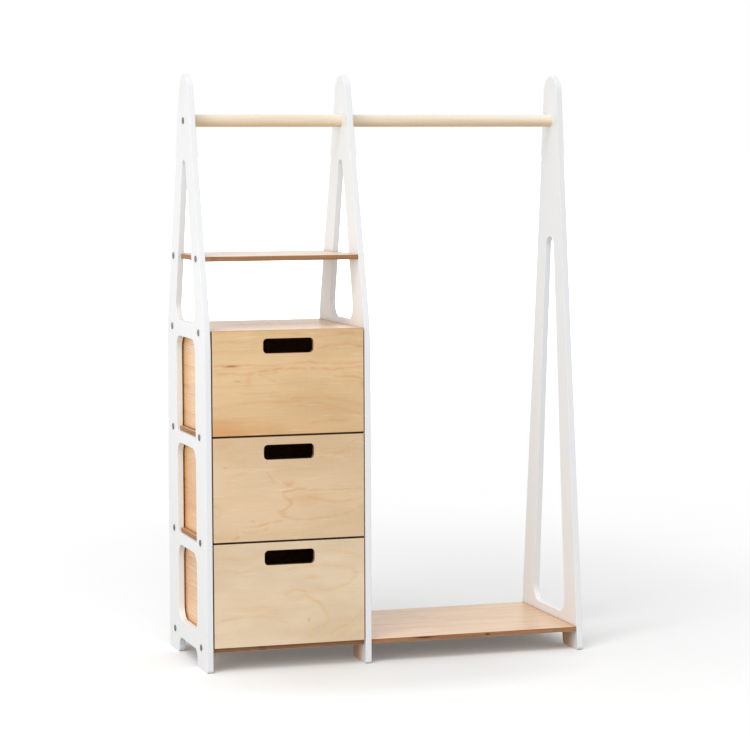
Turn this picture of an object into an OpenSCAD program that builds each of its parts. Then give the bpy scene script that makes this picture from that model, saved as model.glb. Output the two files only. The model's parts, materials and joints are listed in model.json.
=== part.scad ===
// Dressing-up storage unit: a tower of three drawers and an open hanging bay
// between three upright frames, joined by one rail. The frames are painted
// board, everything between them is plywood. +X runs to the right, +Y to the
// back, +Z up. The origin is on the floor, in the middle of the footprint.

/* [Overall] */
// Clear width of the drawer tower, between its two frames
tower_bay = 382; // [330:1:450]
// Clear width of the hanging bay
hang_bay = 540; // [400:5:700]
// Depth of the frames on the floor
frame_depth = 400; // [360:5:460]
// Height of the frames, floor to tip
frame_height = 1435; // [1350:5:1600]

/* [Frames] */
// Thickness of the frame boards
frame_t = 15; // [12:0.5:20]
// Radius of the rounded tip of each frame
tip_r = 44; // [36:1:52]
// Radius of the shoulder where the tower frames start to taper
shoulder_r = 500; // [200:10:650]
// Height of that shoulder over the top of the drawer tower
shoulder_rise = -4; // [-20:1:30]
// Width of the frame uprights beside the tower's side openings
upright_w = 101; // [90:1:110]
// Height of the rails of frame left between two side openings
crossbar_h = 28; // [22:1:40]
// Corner radius of the large openings in the frames
opening_r = 35; // [15:1:45]
// Distance from the tower's top board down to the first side opening
head_drop = 14; // [6:1:30]
// Height of the lowest side opening's sill over the base board
low_sill = 26.5; // [15:0.5:45]
// Radius of the small outer corners of the feet
foot_r = 8; // [3:1:12]

/* [Windows above the tower] */
// Half width of the tapered window at its sill
window_half = 108; // [95:1:114]
// Height of the window's sill over the top of the tower
window_sill = 13; // [8:1:30]
// Distance from the rail down to the top of the window
window_drop = 95; // [60:1:130]
// Radius at the top of the window
window_tip_r = 18; // [12:1:26]

/* [Opening of the hanging bay's end frame] */
// Half width of the tapered opening at its sill
end_half = 111; // [95:1:118]
// Height of its sill over the base shelf
end_sill = 21.5; // [12:0.5:45]
// Distance from the rail down to the top of the opening
end_drop = 293; // [200:1:380]
// Radius at the top of the opening
end_tip_r = 26; // [16:1:32]

/* [Foot arches] */
// Half width of the arch between the feet
arch_half = 97; // [85:1:104]
// Height of the arch
arch_h = 40; // [34:1:42]
// Radius of the arch's upper corners
arch_r = 26; // [14:1:27]
// Radius of the feet's inner corners on the floor
toe_r = 12; // [4:1:13]

/* [Boards] */
// Thickness of the shelves, the dividers and the tower's top and base
board_t = 12; // [11:0.5:15]
// Height of the base boards' underside over the floor
board_floor = 47; // [44:0.5:60]
// Distance of the boards' front edge behind the frames' front edge
board_setback = 13.5; // [13:0.5:25]
// How far the base shelf of the hanging bay stands behind the frames' front
base_setback = 9; // [5:0.5:20]
// How far the tower's top board stays in front of the frames' rear edge
top_back = 6; // [5:0.5:7]
// Clear height between the tower and the shelf over it
cubby_h = 164; // [110:1:200]
// How far the upper shelf stands behind the sloping frame edge
shelf_setback = 1.5; // [0.5:0.5:10]
// Length of the dividers' and the upper shelf's tongues in the frames' openings
tongue_l = 7.5; // [4:0.5:10]
// Gap at each end of a tongue
tongue_gap = 0.5; // [0.2:0.1:1]

/* [Drawers] */
// Height of a drawer front
front_h = 251; // [220:1:280]
// Thickness of a drawer front
front_t = 12; // [10:0.5:12.5]
// Height of the gap between two drawer fronts
front_gap = 4.5; // [3:0.5:7]
// Gap between a drawer front and the frame beside it
front_side_gap = 3; // [2:0.5:5]
// Height of a front's lower edge over the board under it
front_lift = 1; // [0.5:0.5:3]
// How far the fronts stand behind the frames' front edge
front_inset = 0.5; // [0:0.1:0.8]
// Width of the finger slot
slot_w = 125; // [90:1:160]
// Height of the finger slot
slot_h = 36; // [24:1:45]
// Corner radius of the finger slot
slot_r = 10; // [4:0.5:12]
// Distance of the finger slot under the front's upper edge
slot_drop = 19.5; // [12:0.5:35]
// Gap between a drawer's side and the frame beside it
box_side_gap = 4; // [3:0.5:6]
// Gap behind a closed drawer
box_back_gap = 7; // [4:0.5:20]
// Gap between a drawer's sides and the board over them, at the top drawer
side_head_gap = 13.7; // [8:0.1:60]
// Thickness of the drawer sides
side_t = 12; // [9:0.5:15]
// Thickness of the drawer back
drawer_back_t = 12; // [9:0.5:15]
// Thickness of the drawer bottom
bottom_t = 6; // [4:0.5:8]
// Height of the drawer bottom over the sides' lower edge
bottom_rise = 6; // [4:0.5:10]
// Depth of the groove that holds the drawer bottom
groove_d = 5; // [3:0.5:6]
// Running gap under a drawer
run_gap = 0.3; // [0.3:0.1:0.8]

/* [Back panel and mirror] */
// Thickness of the tower's back panel
panel_t = 9; // [7:0.5:12]
// Depth of the grooves that hold the back panel above and below
panel_groove = 4; // [3:0.5:6]
// Distance of the mirror's face in front of the frames' rear edge
mirror_inset = 5; // [4.5:0.5:8]
// Thickness of the mirror sheet
mirror_t = 3; // [2:0.5:4]
// Width of the mirror
mirror_w = 346; // [280:1:350]
// Distance of the mirror from the boards above and below
mirror_margin = 21; // [15:1:60]
// Corner radius of the mirror
mirror_r = 18; // [5:1:30]
// Distance of the mirror's screws from its edges
mirror_screw_in = 22; // [18:1:40]

/* [Rail] */
// Diameter of the hanging rail
rail_d = 30; // [24:0.5:34]
// Distance of the rail's axis under the frames' tip
rail_drop = 112; // [90:1:140]
// Gap between the rail and its hole in the middle frame, all round
rail_gap = 0.3; // [0.2:0.1:0.6]

/* [Hardware] */
// Diameter of the bolt heads
bolt_head_d = 16; // [13:0.5:18]
// Thickness of the bolt heads
bolt_head_t = 2.2; // [1.5:0.1:3]
// Diameter of the bolts
bolt_d = 6; // [5:0.5:7]
// Gap round a bolt in its hole
bolt_gap = 0.25; // [0.15:0.05:0.4]
// Width across flats of the bolts' sockets
socket_af = 4; // [3:0.5:4]
// Depth of the bolts' sockets
socket_depth = 2.6; // [2:0.1:4]
// Distance from a board's end to the nut that holds its bolt
nut_in = 34; // [25:1:40]
// Diameter of the barrel nuts
nut_d = 10; // [9:0.5:12]
// Diameter of the cams under the base boards
cam_d = 15; // [12:0.5:18]
// Height of the barrel nuts and cams
nut_h = 9.5; // [8.5:0.5:10]
// Distance of the bolts behind the frames' front edge
bolt_in = 61; // [55:1:75]
// Distance of the upper shelf's bolts behind its front edge
shelf_bolt_in = 32; // [20:1:50]
// Diameter of the rail's threaded inserts
insert_d = 10; // [9:0.5:12]
// Length of those inserts
insert_l = 20; // [12:1:30]
// Diameter of the wood screws
screw_d = 3.5; // [3:0.1:4]
// Length of the wood screws
screw_l = 30; // [25:1:40]
// Diameter of the wood screws' heads
screw_head_d = 7; // [6:0.5:8]
// Diameter of the dowels in the drawer fronts
dowel_d = 6; // [5:0.5:8]
// Length of those dowels
dowel_l = 24; // [20:1:30]
// Depth of the dowels in the drawer front
dowel_in = 8.5; // [6:0.5:9]
// Diameter of the mirror screws' caps
cap_d = 14; // [10:0.5:16]
// Height of those caps
cap_h = 3.6; // [2:0.1:4]
// Length of a mirror screw in the back panel
cap_screw_l = 6.5; // [4:0.5:6.5]

/* [Hidden] */

paint = [0.93, 0.94, 0.95];
ply = [0.88, 0.76, 0.60];
pale_wood = [0.92, 0.84, 0.70];
steel = [0.62, 0.60, 0.56];

$fn = 48;
// Overlap of a cut beyond the face that it opens
eps = 1;
// Gap round a part that is glued or pushed into its bore
glue_gap = 0.1;
// Largest turn and largest run of two steps along a rounded corner
arc_turn = 16;
arc_run = 24;

// Lines across the width
overall_w = 3 * frame_t + tower_bay + hang_bay;
left_x = -overall_w / 2;
tower_x0 = left_x + frame_t;
tower_x1 = tower_x0 + tower_bay;
hang_x0 = tower_x1 + frame_t;
hang_x1 = hang_x0 + hang_bay;
tower_mid = (tower_x0 + tower_x1) / 2;

// Lines along the depth
front_y = -frame_depth / 2;
rear_y = frame_depth / 2;
board_y0 = front_y + board_setback;
mirror_y = rear_y - mirror_inset - mirror_t;
panel_y = mirror_y - panel_t;

// Lines up the height: the upper faces of the tower's boards
drawer_pitch = front_h + front_gap;
base_top = board_floor + board_t;
lower_top = base_top + drawer_pitch;
upper_top = lower_top + drawer_pitch;
tower_top_z = upper_top + front_lift + front_h;
shelf_z = tower_top_z + cubby_h;
shoulder_z = tower_top_z + shoulder_rise;
rail_z = frame_height - rail_drop;

// Height of the point where the two sides of a tapered outline would meet.
// They start half wide at z0, and touch a circle of radius r that ends at z1.
function apex_z(half, z0, z1, r) =
    let (rise = z1 - r - z0)
    let (lean = atan2(rise, half) + asin(r / norm([half, rise])))
    z0 + half * tan(lean);

// Distance from the centre line to the tower frame's edge at height z
function taper_half(z) =
    let (top = apex_z(frame_depth / 2, shoulder_z, frame_height, tip_r))
    frame_depth / 2 * (top - z) / (top - shoulder_z);

// Distance from the centre line to the side of the tower frames' window
window_z0 = tower_top_z + window_sill;
window_z1 = rail_z - window_drop;
function window_half_at(z) =
    let (top = apex_z(window_half, window_z0, window_z1, window_tip_r))
    window_half * (top - z) / (top - window_z0);

// The corner p of an outline, rounded with radius r
function unit(v) = v / norm(v);
function turn(a) = a > 180 ? a - 360 : a < -180 ? a + 360 : a;
function corner(before, p, after, r) =
    let (u = unit(before - p), w = unit(after - p))
    let (half = acos(u * w) / 2)
    let (c = p + unit(u + w) * r / sin(half))
    let (from = p + u * r / tan(half) - c, to = p + w * r / tan(half) - c)
    let (a = atan2(from.y, from.x), sweep = turn(atan2(to.y, to.x) - a))
    let (arc_l = abs(sweep) * r * PI / 180)
    let (n = 2 * ceil(max(abs(sweep) / arc_turn, arc_l / arc_run)))
    [for (i = [0:n]) c + r * [cos(a + sweep * i / n), sin(a + sweep * i / n)]];

// An outline from corners given as [x, y, radius]
function flat_of(v) = [v.x, v.y];
function rounded(v) = [
    for (i = [0:len(v) - 1])
        let (last = v[(i + len(v) - 1) % len(v)], next = v[(i + 1) % len(v)])
        each v[i].z == 0
            ? [flat_of(v[i])]
            : corner(flat_of(last), flat_of(v[i]), flat_of(next), v[i].z)
];

function box_outline(half, z0, z1, r0, r1) = rounded([
    [-half, z0, r0], [-half, z1, r1], [half, z1, r1], [half, z0, r0]
]);
function gable_outline(half, z0, z1, r0, r1) = rounded([
    [-half, z0, r0], [0, apex_z(half, z0, z1, r1), r1], [half, z0, r0]
]);

// The foot line of a frame, from the rear foot to the front one
function feet(half) = [
    [half, 0, foot_r], [arch_half, 0, toe_r], [arch_half, arch_h, arch_r],
    [-arch_half, arch_h, arch_r], [-arch_half, 0, toe_r], [-half, 0, foot_r]
];

// A flat board on its edge, drawn in Y and Z, t thick from x towards +X
module upright(x, t) {
    translate([x, 0, 0])
        rotate([90, 0, 90])
            linear_extrude(t)
                children();
}

// A flat board that faces the front, drawn in X and Z, t thick from y to +Y
module facing(y, t) {
    translate([0, y + t, 0])
        rotate([90, 0, 0])
            linear_extrude(t)
                children();
}

// A rod along X, Y or Z from its start
module rod_x(p, d, l) {
    translate(p)
        rotate([0, 90, 0])
            cylinder(d = d, h = l);
}
module rod_y(p, d, l) {
    translate(p)
        rotate([-90, 0, 0])
            cylinder(d = d, h = l);
}
module rod_z(p, d, l) {
    translate(p)
        cylinder(d = d, h = l);
}

// ---- Bolt places ----
bolt_hole_d = bolt_d + 2 * bolt_gap;
bolt_y = frame_depth / 2 - bolt_in;
shelf_half = taper_half(shelf_z + board_t) - shelf_setback;
shelf_bolt_y = shelf_half - shelf_bolt_in;
divider_z = [lower_top - board_t, upper_top - board_t];
base_points = [for (s = [-1, 1]) [s * bolt_y, board_floor + board_t / 2]];
tower_points = [
    for (z = [each divider_z, tower_top_z - board_t], s = [-1, 1])
        [s * bolt_y, z + board_t / 2]
];
shelf_points = [for (s = [-1, 1]) [s * shelf_bolt_y, shelf_z + board_t / 2]];
rail_point = [0, rail_z];
frame_points = [each base_points, each tower_points, each shelf_points];

module holes_x(x, l, d, points) {
    for (p = points)
        rod_x([x, p.x, p.y], d, l);
}

// ---- Frames ----
module frame_blank(x, shape) {
    upright(x, frame_t)
        polygon(rounded(shape));
}

module opening(x, outline) {
    upright(x - eps, frame_t + 2 * eps)
        polygon(outline);
}

module tower_frame(x, rail_hole_d) {
    half = frame_depth / 2;
    inner = half - upright_w;
    difference() {
        frame_blank(x, [
            [-half, shoulder_z, shoulder_r],
            [0, apex_z(half, shoulder_z, frame_height, tip_r), tip_r],
            [half, shoulder_z, shoulder_r],
            each feet(half)
        ]);
        opening(x, gable_outline(
            window_half, window_z0, window_z1, opening_r, window_tip_r
        ));
        opening(x, box_outline(
            inner, divider_z[1], tower_top_z - board_t - head_drop, 0, opening_r
        ));
        opening(x, box_outline(
            inner, divider_z[0], divider_z[1] - crossbar_h, 0, opening_r
        ));
        opening(x, box_outline(
            inner, base_top + low_sill, divider_z[0] - crossbar_h,
            opening_r, opening_r
        ));
        holes_x(x - eps, frame_t + 2 * eps, bolt_hole_d, frame_points);
        holes_x(x - eps, frame_t + 2 * eps, rail_hole_d, [rail_point]);
    }
}

module left_frame() {
    color(paint)
        tower_frame(left_x, bolt_hole_d);
}

module middle_frame() {
    color(paint)
        tower_frame(tower_x1, rail_d + 2 * rail_gap);
}

module right_frame() {
    half = frame_depth / 2;
    color(paint)
        difference() {
            frame_blank(hang_x1, [
                [0, apex_z(half, 0, frame_height, tip_r), tip_r],
                each feet(half)
            ]);
            opening(hang_x1, gable_outline(
                end_half, base_top + end_sill, rail_z - end_drop,
                opening_r, end_tip_r
            ));
            holes_x(
                hang_x1 - eps, frame_t + 2 * eps, bolt_hole_d,
                [each base_points, rail_point]
            );
        }
}

// ---- Boards ----
module board(x0, x1, y0, y1, z) {
    translate([x0, y0, z])
        cube([x1 - x0, y1 - y0, board_t]);
}

// Bolt holes in one end of a board, with the cross bores for nuts or cams.
// side is 1 at the left end and -1 at the right end.
module end_holes(x, side, points, cross_d) {
    reach = nut_in + bolt_d + eps;
    for (p = points) {
        rod_x([side > 0 ? x : x - reach, p.x, p.y], bolt_hole_d, reach);
        rod_z(
            [x + side * nut_in, p.x, p.y - board_t / 2 - eps],
            cross_d + 2 * glue_gap, nut_h + glue_gap + eps
        );
    }
}

function at_height(points, z) = [for (p = points) [p.x, z + board_t / 2]];

// Groove across the tower for the back panel
module panel_slot(z) {
    translate([tower_x0 - eps, panel_y - glue_gap, z])
        cube([tower_bay + 2 * eps, panel_t + 2 * glue_gap, panel_groove + eps]);
}

module tower_base() {
    color(ply)
        difference() {
            board(tower_x0, tower_x1, board_y0, rear_y - top_back, board_floor);
            end_holes(tower_x0, 1, base_points, nut_d);
            end_holes(tower_x1, -1, base_points, cam_d);
            panel_slot(base_top - panel_groove);
        }
}

module tower_top() {
    z = tower_top_z - board_t;
    color(ply)
        difference() {
            board(tower_x0, tower_x1, board_y0, rear_y - top_back, z);
            end_holes(tower_x0, 1, at_height(base_points, z), nut_d);
            end_holes(tower_x1, -1, at_height(base_points, z), nut_d);
            panel_slot(z - eps);
        }
}

module divider(z) {
    inner = frame_depth / 2 - upright_w - tongue_gap;
    difference() {
        union() {
            board(tower_x0, tower_x1, board_y0, panel_y, z);
            board(tower_x0 - tongue_l, tower_x1 + tongue_l, -inner, inner, z);
        }
        end_holes(tower_x0, 1, at_height(base_points, z), nut_d);
        end_holes(tower_x1, -1, at_height(base_points, z), nut_d);
        for (x = panel_screw_x)
            rod_y([x, panel_y - screw_l, z + board_t / 2], screw_d, screw_l + eps);
    }
}

module tower_divider_lower() {
    color(ply)
        divider(divider_z[0]);
}

module tower_divider_upper() {
    color(ply)
        divider(divider_z[1]);
}

module upper_shelf() {
    tongue_half = window_half_at(shelf_z + board_t) - tongue_gap;
    color(ply)
        difference() {
            union() {
                board(tower_x0, tower_x1, -shelf_half, shelf_half, shelf_z);
                board(
                    tower_x0 - tongue_l, tower_x1 + tongue_l,
                    -tongue_half, tongue_half, shelf_z
                );
            }
            end_holes(tower_x0, 1, shelf_points, nut_d);
            end_holes(tower_x1, -1, shelf_points, nut_d);
        }
}

module base_shelf() {
    half = frame_depth / 2 - base_setback;
    color(ply)
        difference() {
            board(hang_x0, hang_x1, -half, half, board_floor);
            end_holes(hang_x0, 1, base_points, cam_d);
            end_holes(hang_x1, -1, base_points, nut_d);
        }
}

// ---- Back panel and mirror ----
panel_z0 = base_top - panel_groove;
panel_z1 = tower_top_z - board_t + panel_groove;
panel_gap = 0.5;
panel_screw_pitch = tower_bay * 0.36;
panel_screw_x = [for (s = [-1, 0, 1]) tower_mid + s * panel_screw_pitch];
mirror_z0 = base_top + mirror_margin;
mirror_z1 = tower_top_z - board_t - mirror_margin;
mirror_x = mirror_w / 2 - mirror_screw_in;
mirror_screw_points = [
    for (s = [-1, 1], z = [
        mirror_z0 + mirror_screw_in,
        (mirror_z0 + mirror_z1) / 2,
        mirror_z1 - mirror_screw_in
    ]) [tower_mid + s * mirror_x, z]
];

// A countersunk wood screw along +Y, its flat head at the origin
module wood_screw(l) {
    cone = (screw_head_d - screw_d) / 2;
    rotate([-90, 0, 0])
        rotate_extrude()
            polygon([
                [0, 0], [screw_head_d / 2, 0], [screw_d / 2 - glue_gap, cone],
                [screw_d / 2 - glue_gap, l - screw_d], [0, l]
            ]);
}

// The countersunk hole that this screw sits in
module screw_hole(l) {
    cone = (screw_head_d - screw_d) / 2;
    rotate([-90, 0, 0])
        rotate_extrude()
            polygon([
                [0, -eps], [screw_head_d / 2 + glue_gap, -eps],
                [screw_head_d / 2 + glue_gap, glue_gap],
                [screw_d / 2, cone + glue_gap], [screw_d / 2, l], [0, l]
            ]);
}

module back_panel() {
    color(ply)
        difference() {
            translate([tower_x0 + panel_gap, panel_y, panel_z0])
                cube([tower_bay - 2 * panel_gap, panel_t, panel_z1 - panel_z0]);
            for (x = panel_screw_x, z = divider_z)
                translate([x, mirror_y, z + board_t / 2])
                    rotate([0, 0, 180])
                        screw_hole(panel_t + eps);
            for (p = mirror_screw_points)
                rod_y([p.x, mirror_y - cap_screw_l - eps, p.y], screw_d, cap_screw_l + 2 * eps);
        }
}

module back_panel_screws() {
    color(steel)
        for (x = panel_screw_x, z = divider_z)
            translate([x, mirror_y, z + board_t / 2])
                rotate([0, 0, 180])
                    wood_screw(screw_l);
}

module mirror_sheet_outline() {
    x0 = tower_mid - mirror_w / 2;
    x1 = tower_mid + mirror_w / 2;
    polygon(rounded([
        [x0, mirror_z0, mirror_r], [x0, mirror_z1, mirror_r],
        [x1, mirror_z1, mirror_r], [x1, mirror_z0, mirror_r]
    ]));
}

module mirror() {
    color([0.85, 0.90, 0.93])
        difference() {
            facing(mirror_y, mirror_t)
                mirror_sheet_outline();
            for (p = mirror_screw_points)
                rod_y([p.x, mirror_y - eps, p.y], screw_d + 2 * bolt_gap, mirror_t + 2 * eps);
        }
}

// Domed cap and screw in one, along +Y from the mirror's face
module mirror_screw() {
    dome_r = (cap_d * cap_d / 4 + cap_h * cap_h) / (2 * cap_h);
    shank_l = mirror_t + cap_screw_l;
    rotate([-90, 0, 0])
        rotate_extrude() {
            intersection() {
                translate([0, cap_h - dome_r])
                    circle(r = dome_r, $fn = 96);
                square([cap_d, cap_h + eps]);
            }
            translate([0, -shank_l])
                square([screw_d / 2 - glue_gap, shank_l + eps]);
        }
}

module mirror_screws() {
    color(steel)
        for (p = mirror_screw_points)
            translate([p.x, mirror_y + mirror_t, p.y])
                mirror_screw();
}

// ---- Rail ----
module hanging_rail() {
    l = hang_x1 - tower_x0;
    bore = insert_l + eps;
    color(pale_wood)
        difference() {
            rod_x([tower_x0, 0, rail_z], rail_d, l);
            for (x = [tower_x0 - eps, hang_x1 - bore])
                rod_x([x, 0, rail_z], insert_d + 2 * glue_gap, bore + eps);
            for (x = [tower_x0, hang_x1 - nut_in - bolt_d - eps])
                rod_x([x, 0, rail_z], bolt_hole_d, nut_in + bolt_d + eps);
        }
}

module rail_inserts() {
    color(steel)
        for (x = [tower_x0, hang_x1 - insert_l])
            difference() {
                rod_x([x, 0, rail_z], insert_d, insert_l);
                rod_x([x - eps, 0, rail_z], bolt_d + 2 * glue_gap, insert_l + 2 * eps);
            }
}

// ---- Bolts, nuts and cams ----
// A flat-headed bolt along +X, the underside of its head at the origin
module bolt() {
    l = frame_t + nut_in + bolt_d;
    difference() {
        union() {
            rod_x([-bolt_head_t, 0, 0], bolt_head_d, bolt_head_t);
            rod_x([-bolt_head_t / 2, 0, 0], bolt_d, l + bolt_head_t / 2);
        }
        translate([-bolt_head_t - eps, 0, 0])
            rotate([0, 90, 0])
                cylinder(d = socket_af / cos(30), h = socket_depth + eps, $fn = 6);
    }
}

// Bolts through a frame. side is 1 where the head is on its left face.
module bolts(x, side, points) {
    for (p = points)
        translate([x, p.x, p.y])
            rotate([0, 0, side > 0 ? 0 : 180])
                bolt();
}

module left_frame_bolts() {
    color(steel)
        bolts(left_x, 1, [each frame_points, rail_point]);
}

module middle_frame_bolts() {
    color(steel)
        bolts(hang_x0, -1, [each tower_points, each shelf_points]);
}

module right_frame_bolts() {
    color(steel)
        bolts(hang_x1 + frame_t, -1, [each base_points, rail_point]);
}

// A nut or cam from the board's underside, pierced by its bolt
module cross_nut(x, p, d) {
    difference() {
        rod_z([x, p.x, p.y - board_t / 2], d, nut_h);
        rod_x([x - d, p.x, p.y], bolt_d + 2 * glue_gap, 2 * d);
    }
}

module barrel_nuts() {
    color(steel) {
        for (p = frame_points)
            cross_nut(tower_x0 + nut_in, p, nut_d);
        for (p = [each tower_points, each shelf_points])
            cross_nut(tower_x1 - nut_in, p, nut_d);
        for (p = base_points)
            cross_nut(hang_x1 - nut_in, p, nut_d);
    }
}

module link_cams() {
    color(steel)
        for (p = base_points, x = [tower_x1 - nut_in, hang_x0 + nut_in])
            cross_nut(x, p, cam_d);
}

module link_bolts() {
    reach = nut_in + bolt_d;
    color(steel)
        for (p = base_points)
            rod_x([tower_x1 - reach, p.x, p.y], bolt_d, frame_t + 2 * reach);
}

// ---- Drawers. z is the upper face of the board that carries the drawer ----
front_y0 = front_y + front_inset;
box_y0 = front_y0 + front_t;
box_y1 = panel_y - box_back_gap;
box_x0 = tower_x0 + box_side_gap;
box_x1 = tower_x1 - box_side_gap;
inner_x0 = box_x0 + side_t;
inner_x1 = box_x1 - side_t;
side_h = front_lift + front_h - board_t - side_head_gap - run_gap;
groove_in = groove_d - glue_gap;
back_screw_z = [0.25, 0.5, 0.75];
dowel_z = [0.2, 0.5, 0.8];

// The space of the drawer's bottom and its groove, grown by gap
module bottom_space(z, gap) {
    translate([inner_x0 - groove_d, box_y0 - groove_d, z + run_gap + bottom_rise - gap])
        cube([
            inner_x1 - inner_x0 + 2 * groove_d,
            box_y1 - box_y0 + groove_d + eps, bottom_t + 2 * gap
        ]);
}

function side_z(z, share) = z + run_gap + share * side_h;

module dowels(z, d, l_front, l_side) {
    for (x = [box_x0 + side_t / 2, box_x1 - side_t / 2], share = dowel_z)
        rod_y([x, box_y0 - l_front, side_z(z, share)], d, l_front + l_side);
}

module dowel_holes(z) {
    dowels(
        z, dowel_d + 2 * glue_gap, dowel_in + glue_gap,
        dowel_l - dowel_in + glue_gap
    );
}

module drawer_front(z) {
    z0 = z + front_lift;
    slot_z1 = z0 + front_h - slot_drop;
    slot_x0 = tower_mid - slot_w / 2;
    slot_x1 = tower_mid + slot_w / 2;
    difference() {
        translate([tower_x0 + front_side_gap, front_y0, z0])
            cube([tower_bay - 2 * front_side_gap, front_t, front_h]);
        facing(front_y0 - eps, front_t + 2 * eps)
            polygon(rounded([
                [slot_x0, slot_z1 - slot_h, slot_r], [slot_x0, slot_z1, slot_r],
                [slot_x1, slot_z1, slot_r], [slot_x1, slot_z1 - slot_h, slot_r]
            ]));
        bottom_space(z, glue_gap);
        dowel_holes(z);
    }
}

module drawer_side(x, z) {
    difference() {
        translate([x, box_y0, z + run_gap])
            cube([side_t, box_y1 - box_y0, side_h]);
        bottom_space(z, glue_gap);
        dowel_holes(z);
        back_screw_places(z)
            screw_hole(side_t + eps);
    }
}

// The drawer's back stands on the bottom, between the sides
module drawer_back(z) {
    z0 = run_gap + bottom_rise + bottom_t;
    difference() {
        translate([inner_x0, box_y1 - drawer_back_t, z + z0])
            cube([inner_x1 - inner_x0, drawer_back_t, side_h + run_gap - z0]);
        back_screw_places(z)
            screw_hole(screw_l + eps);
    }
}

module drawer_bottom(z) {
    translate([inner_x0 - groove_in, box_y0 - groove_in, z + run_gap + bottom_rise])
        cube([
            inner_x1 - inner_x0 + 2 * groove_in,
            box_y1 - box_y0 + groove_in, bottom_t
        ]);
}

// Screws through the sides into the ends of the back
module back_screw_places(z) {
    y = box_y1 - drawer_back_t / 2;
    for (share = back_screw_z) {
        translate([box_x0, y, side_z(z, share)])
            rotate([0, 0, -90])
                children();
        translate([box_x1, y, side_z(z, share)])
            rotate([0, 0, 90])
                children();
    }
}

module drawer_screws(z) {
    color(steel)
        back_screw_places(z)
            wood_screw(screw_l);
}

module drawer_dowels(z) {
    color(pale_wood)
        dowels(z, dowel_d, dowel_in, dowel_l - dowel_in);
}

module drawer_lower_front() { color(ply) drawer_front(base_top); }
module drawer_lower_side_left() { color(ply) drawer_side(box_x0, base_top); }
module drawer_lower_side_right() { color(ply) drawer_side(inner_x1, base_top); }
module drawer_lower_back() { color(ply) drawer_back(base_top); }
module drawer_lower_bottom() { color(ply) drawer_bottom(base_top); }
module drawer_lower_dowels() { drawer_dowels(base_top); }
module drawer_lower_screws() { drawer_screws(base_top); }

module drawer_middle_front() { color(ply) drawer_front(lower_top); }
module drawer_middle_side_left() { color(ply) drawer_side(box_x0, lower_top); }
module drawer_middle_side_right() { color(ply) drawer_side(inner_x1, lower_top); }
module drawer_middle_back() { color(ply) drawer_back(lower_top); }
module drawer_middle_bottom() { color(ply) drawer_bottom(lower_top); }
module drawer_middle_dowels() { drawer_dowels(lower_top); }
module drawer_middle_screws() { drawer_screws(lower_top); }

module drawer_upper_front() { color(ply) drawer_front(upper_top); }
module drawer_upper_side_left() { color(ply) drawer_side(box_x0, upper_top); }
module drawer_upper_side_right() { color(ply) drawer_side(inner_x1, upper_top); }
module drawer_upper_back() { color(ply) drawer_back(upper_top); }
module drawer_upper_bottom() { color(ply) drawer_bottom(upper_top); }
module drawer_upper_dowels() { drawer_dowels(upper_top); }
module drawer_upper_screws() { drawer_screws(upper_top); }

left_frame();
middle_frame();
right_frame();
tower_base();
tower_divider_lower();
tower_divider_upper();
tower_top();
upper_shelf();
base_shelf();
back_panel();
mirror();
hanging_rail();
left_frame_bolts();
middle_frame_bolts();
right_frame_bolts();
barrel_nuts();
link_bolts();
link_cams();
rail_inserts();
back_panel_screws();
mirror_screws();
drawer_lower_front();
drawer_lower_side_left();
drawer_lower_side_right();
drawer_lower_back();
drawer_lower_bottom();
drawer_lower_dowels();
drawer_lower_screws();
drawer_middle_front();
drawer_middle_side_left();
drawer_middle_side_right();
drawer_middle_back();
drawer_middle_bottom();
drawer_middle_dowels();
drawer_middle_screws();
drawer_upper_front();
drawer_upper_side_left();
drawer_upper_side_right();
drawer_upper_back();
drawer_upper_bottom();
drawer_upper_dowels();
drawer_upper_screws();
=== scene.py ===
# %% [markdown]
# # A dressing-up unit with drawers, a hanging rail and a mirror
#
# Children keep their clothes and costumes in this unit. Three upright frames of
# white painted board stand side by side. Between the first two is a tower of three
# plywood drawers with a shelf over it, and between the last two is an open bay with
# a shelf near the floor. One round rail runs through all three frames, and the back
# of the tower carries a mirror.
#
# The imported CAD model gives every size. Each cell below makes one kind of piece or
# one finish, and sets it exactly where its solid is.

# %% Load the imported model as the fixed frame
import json
import math

import bpy
from mathutils import Matrix, Vector


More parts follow.
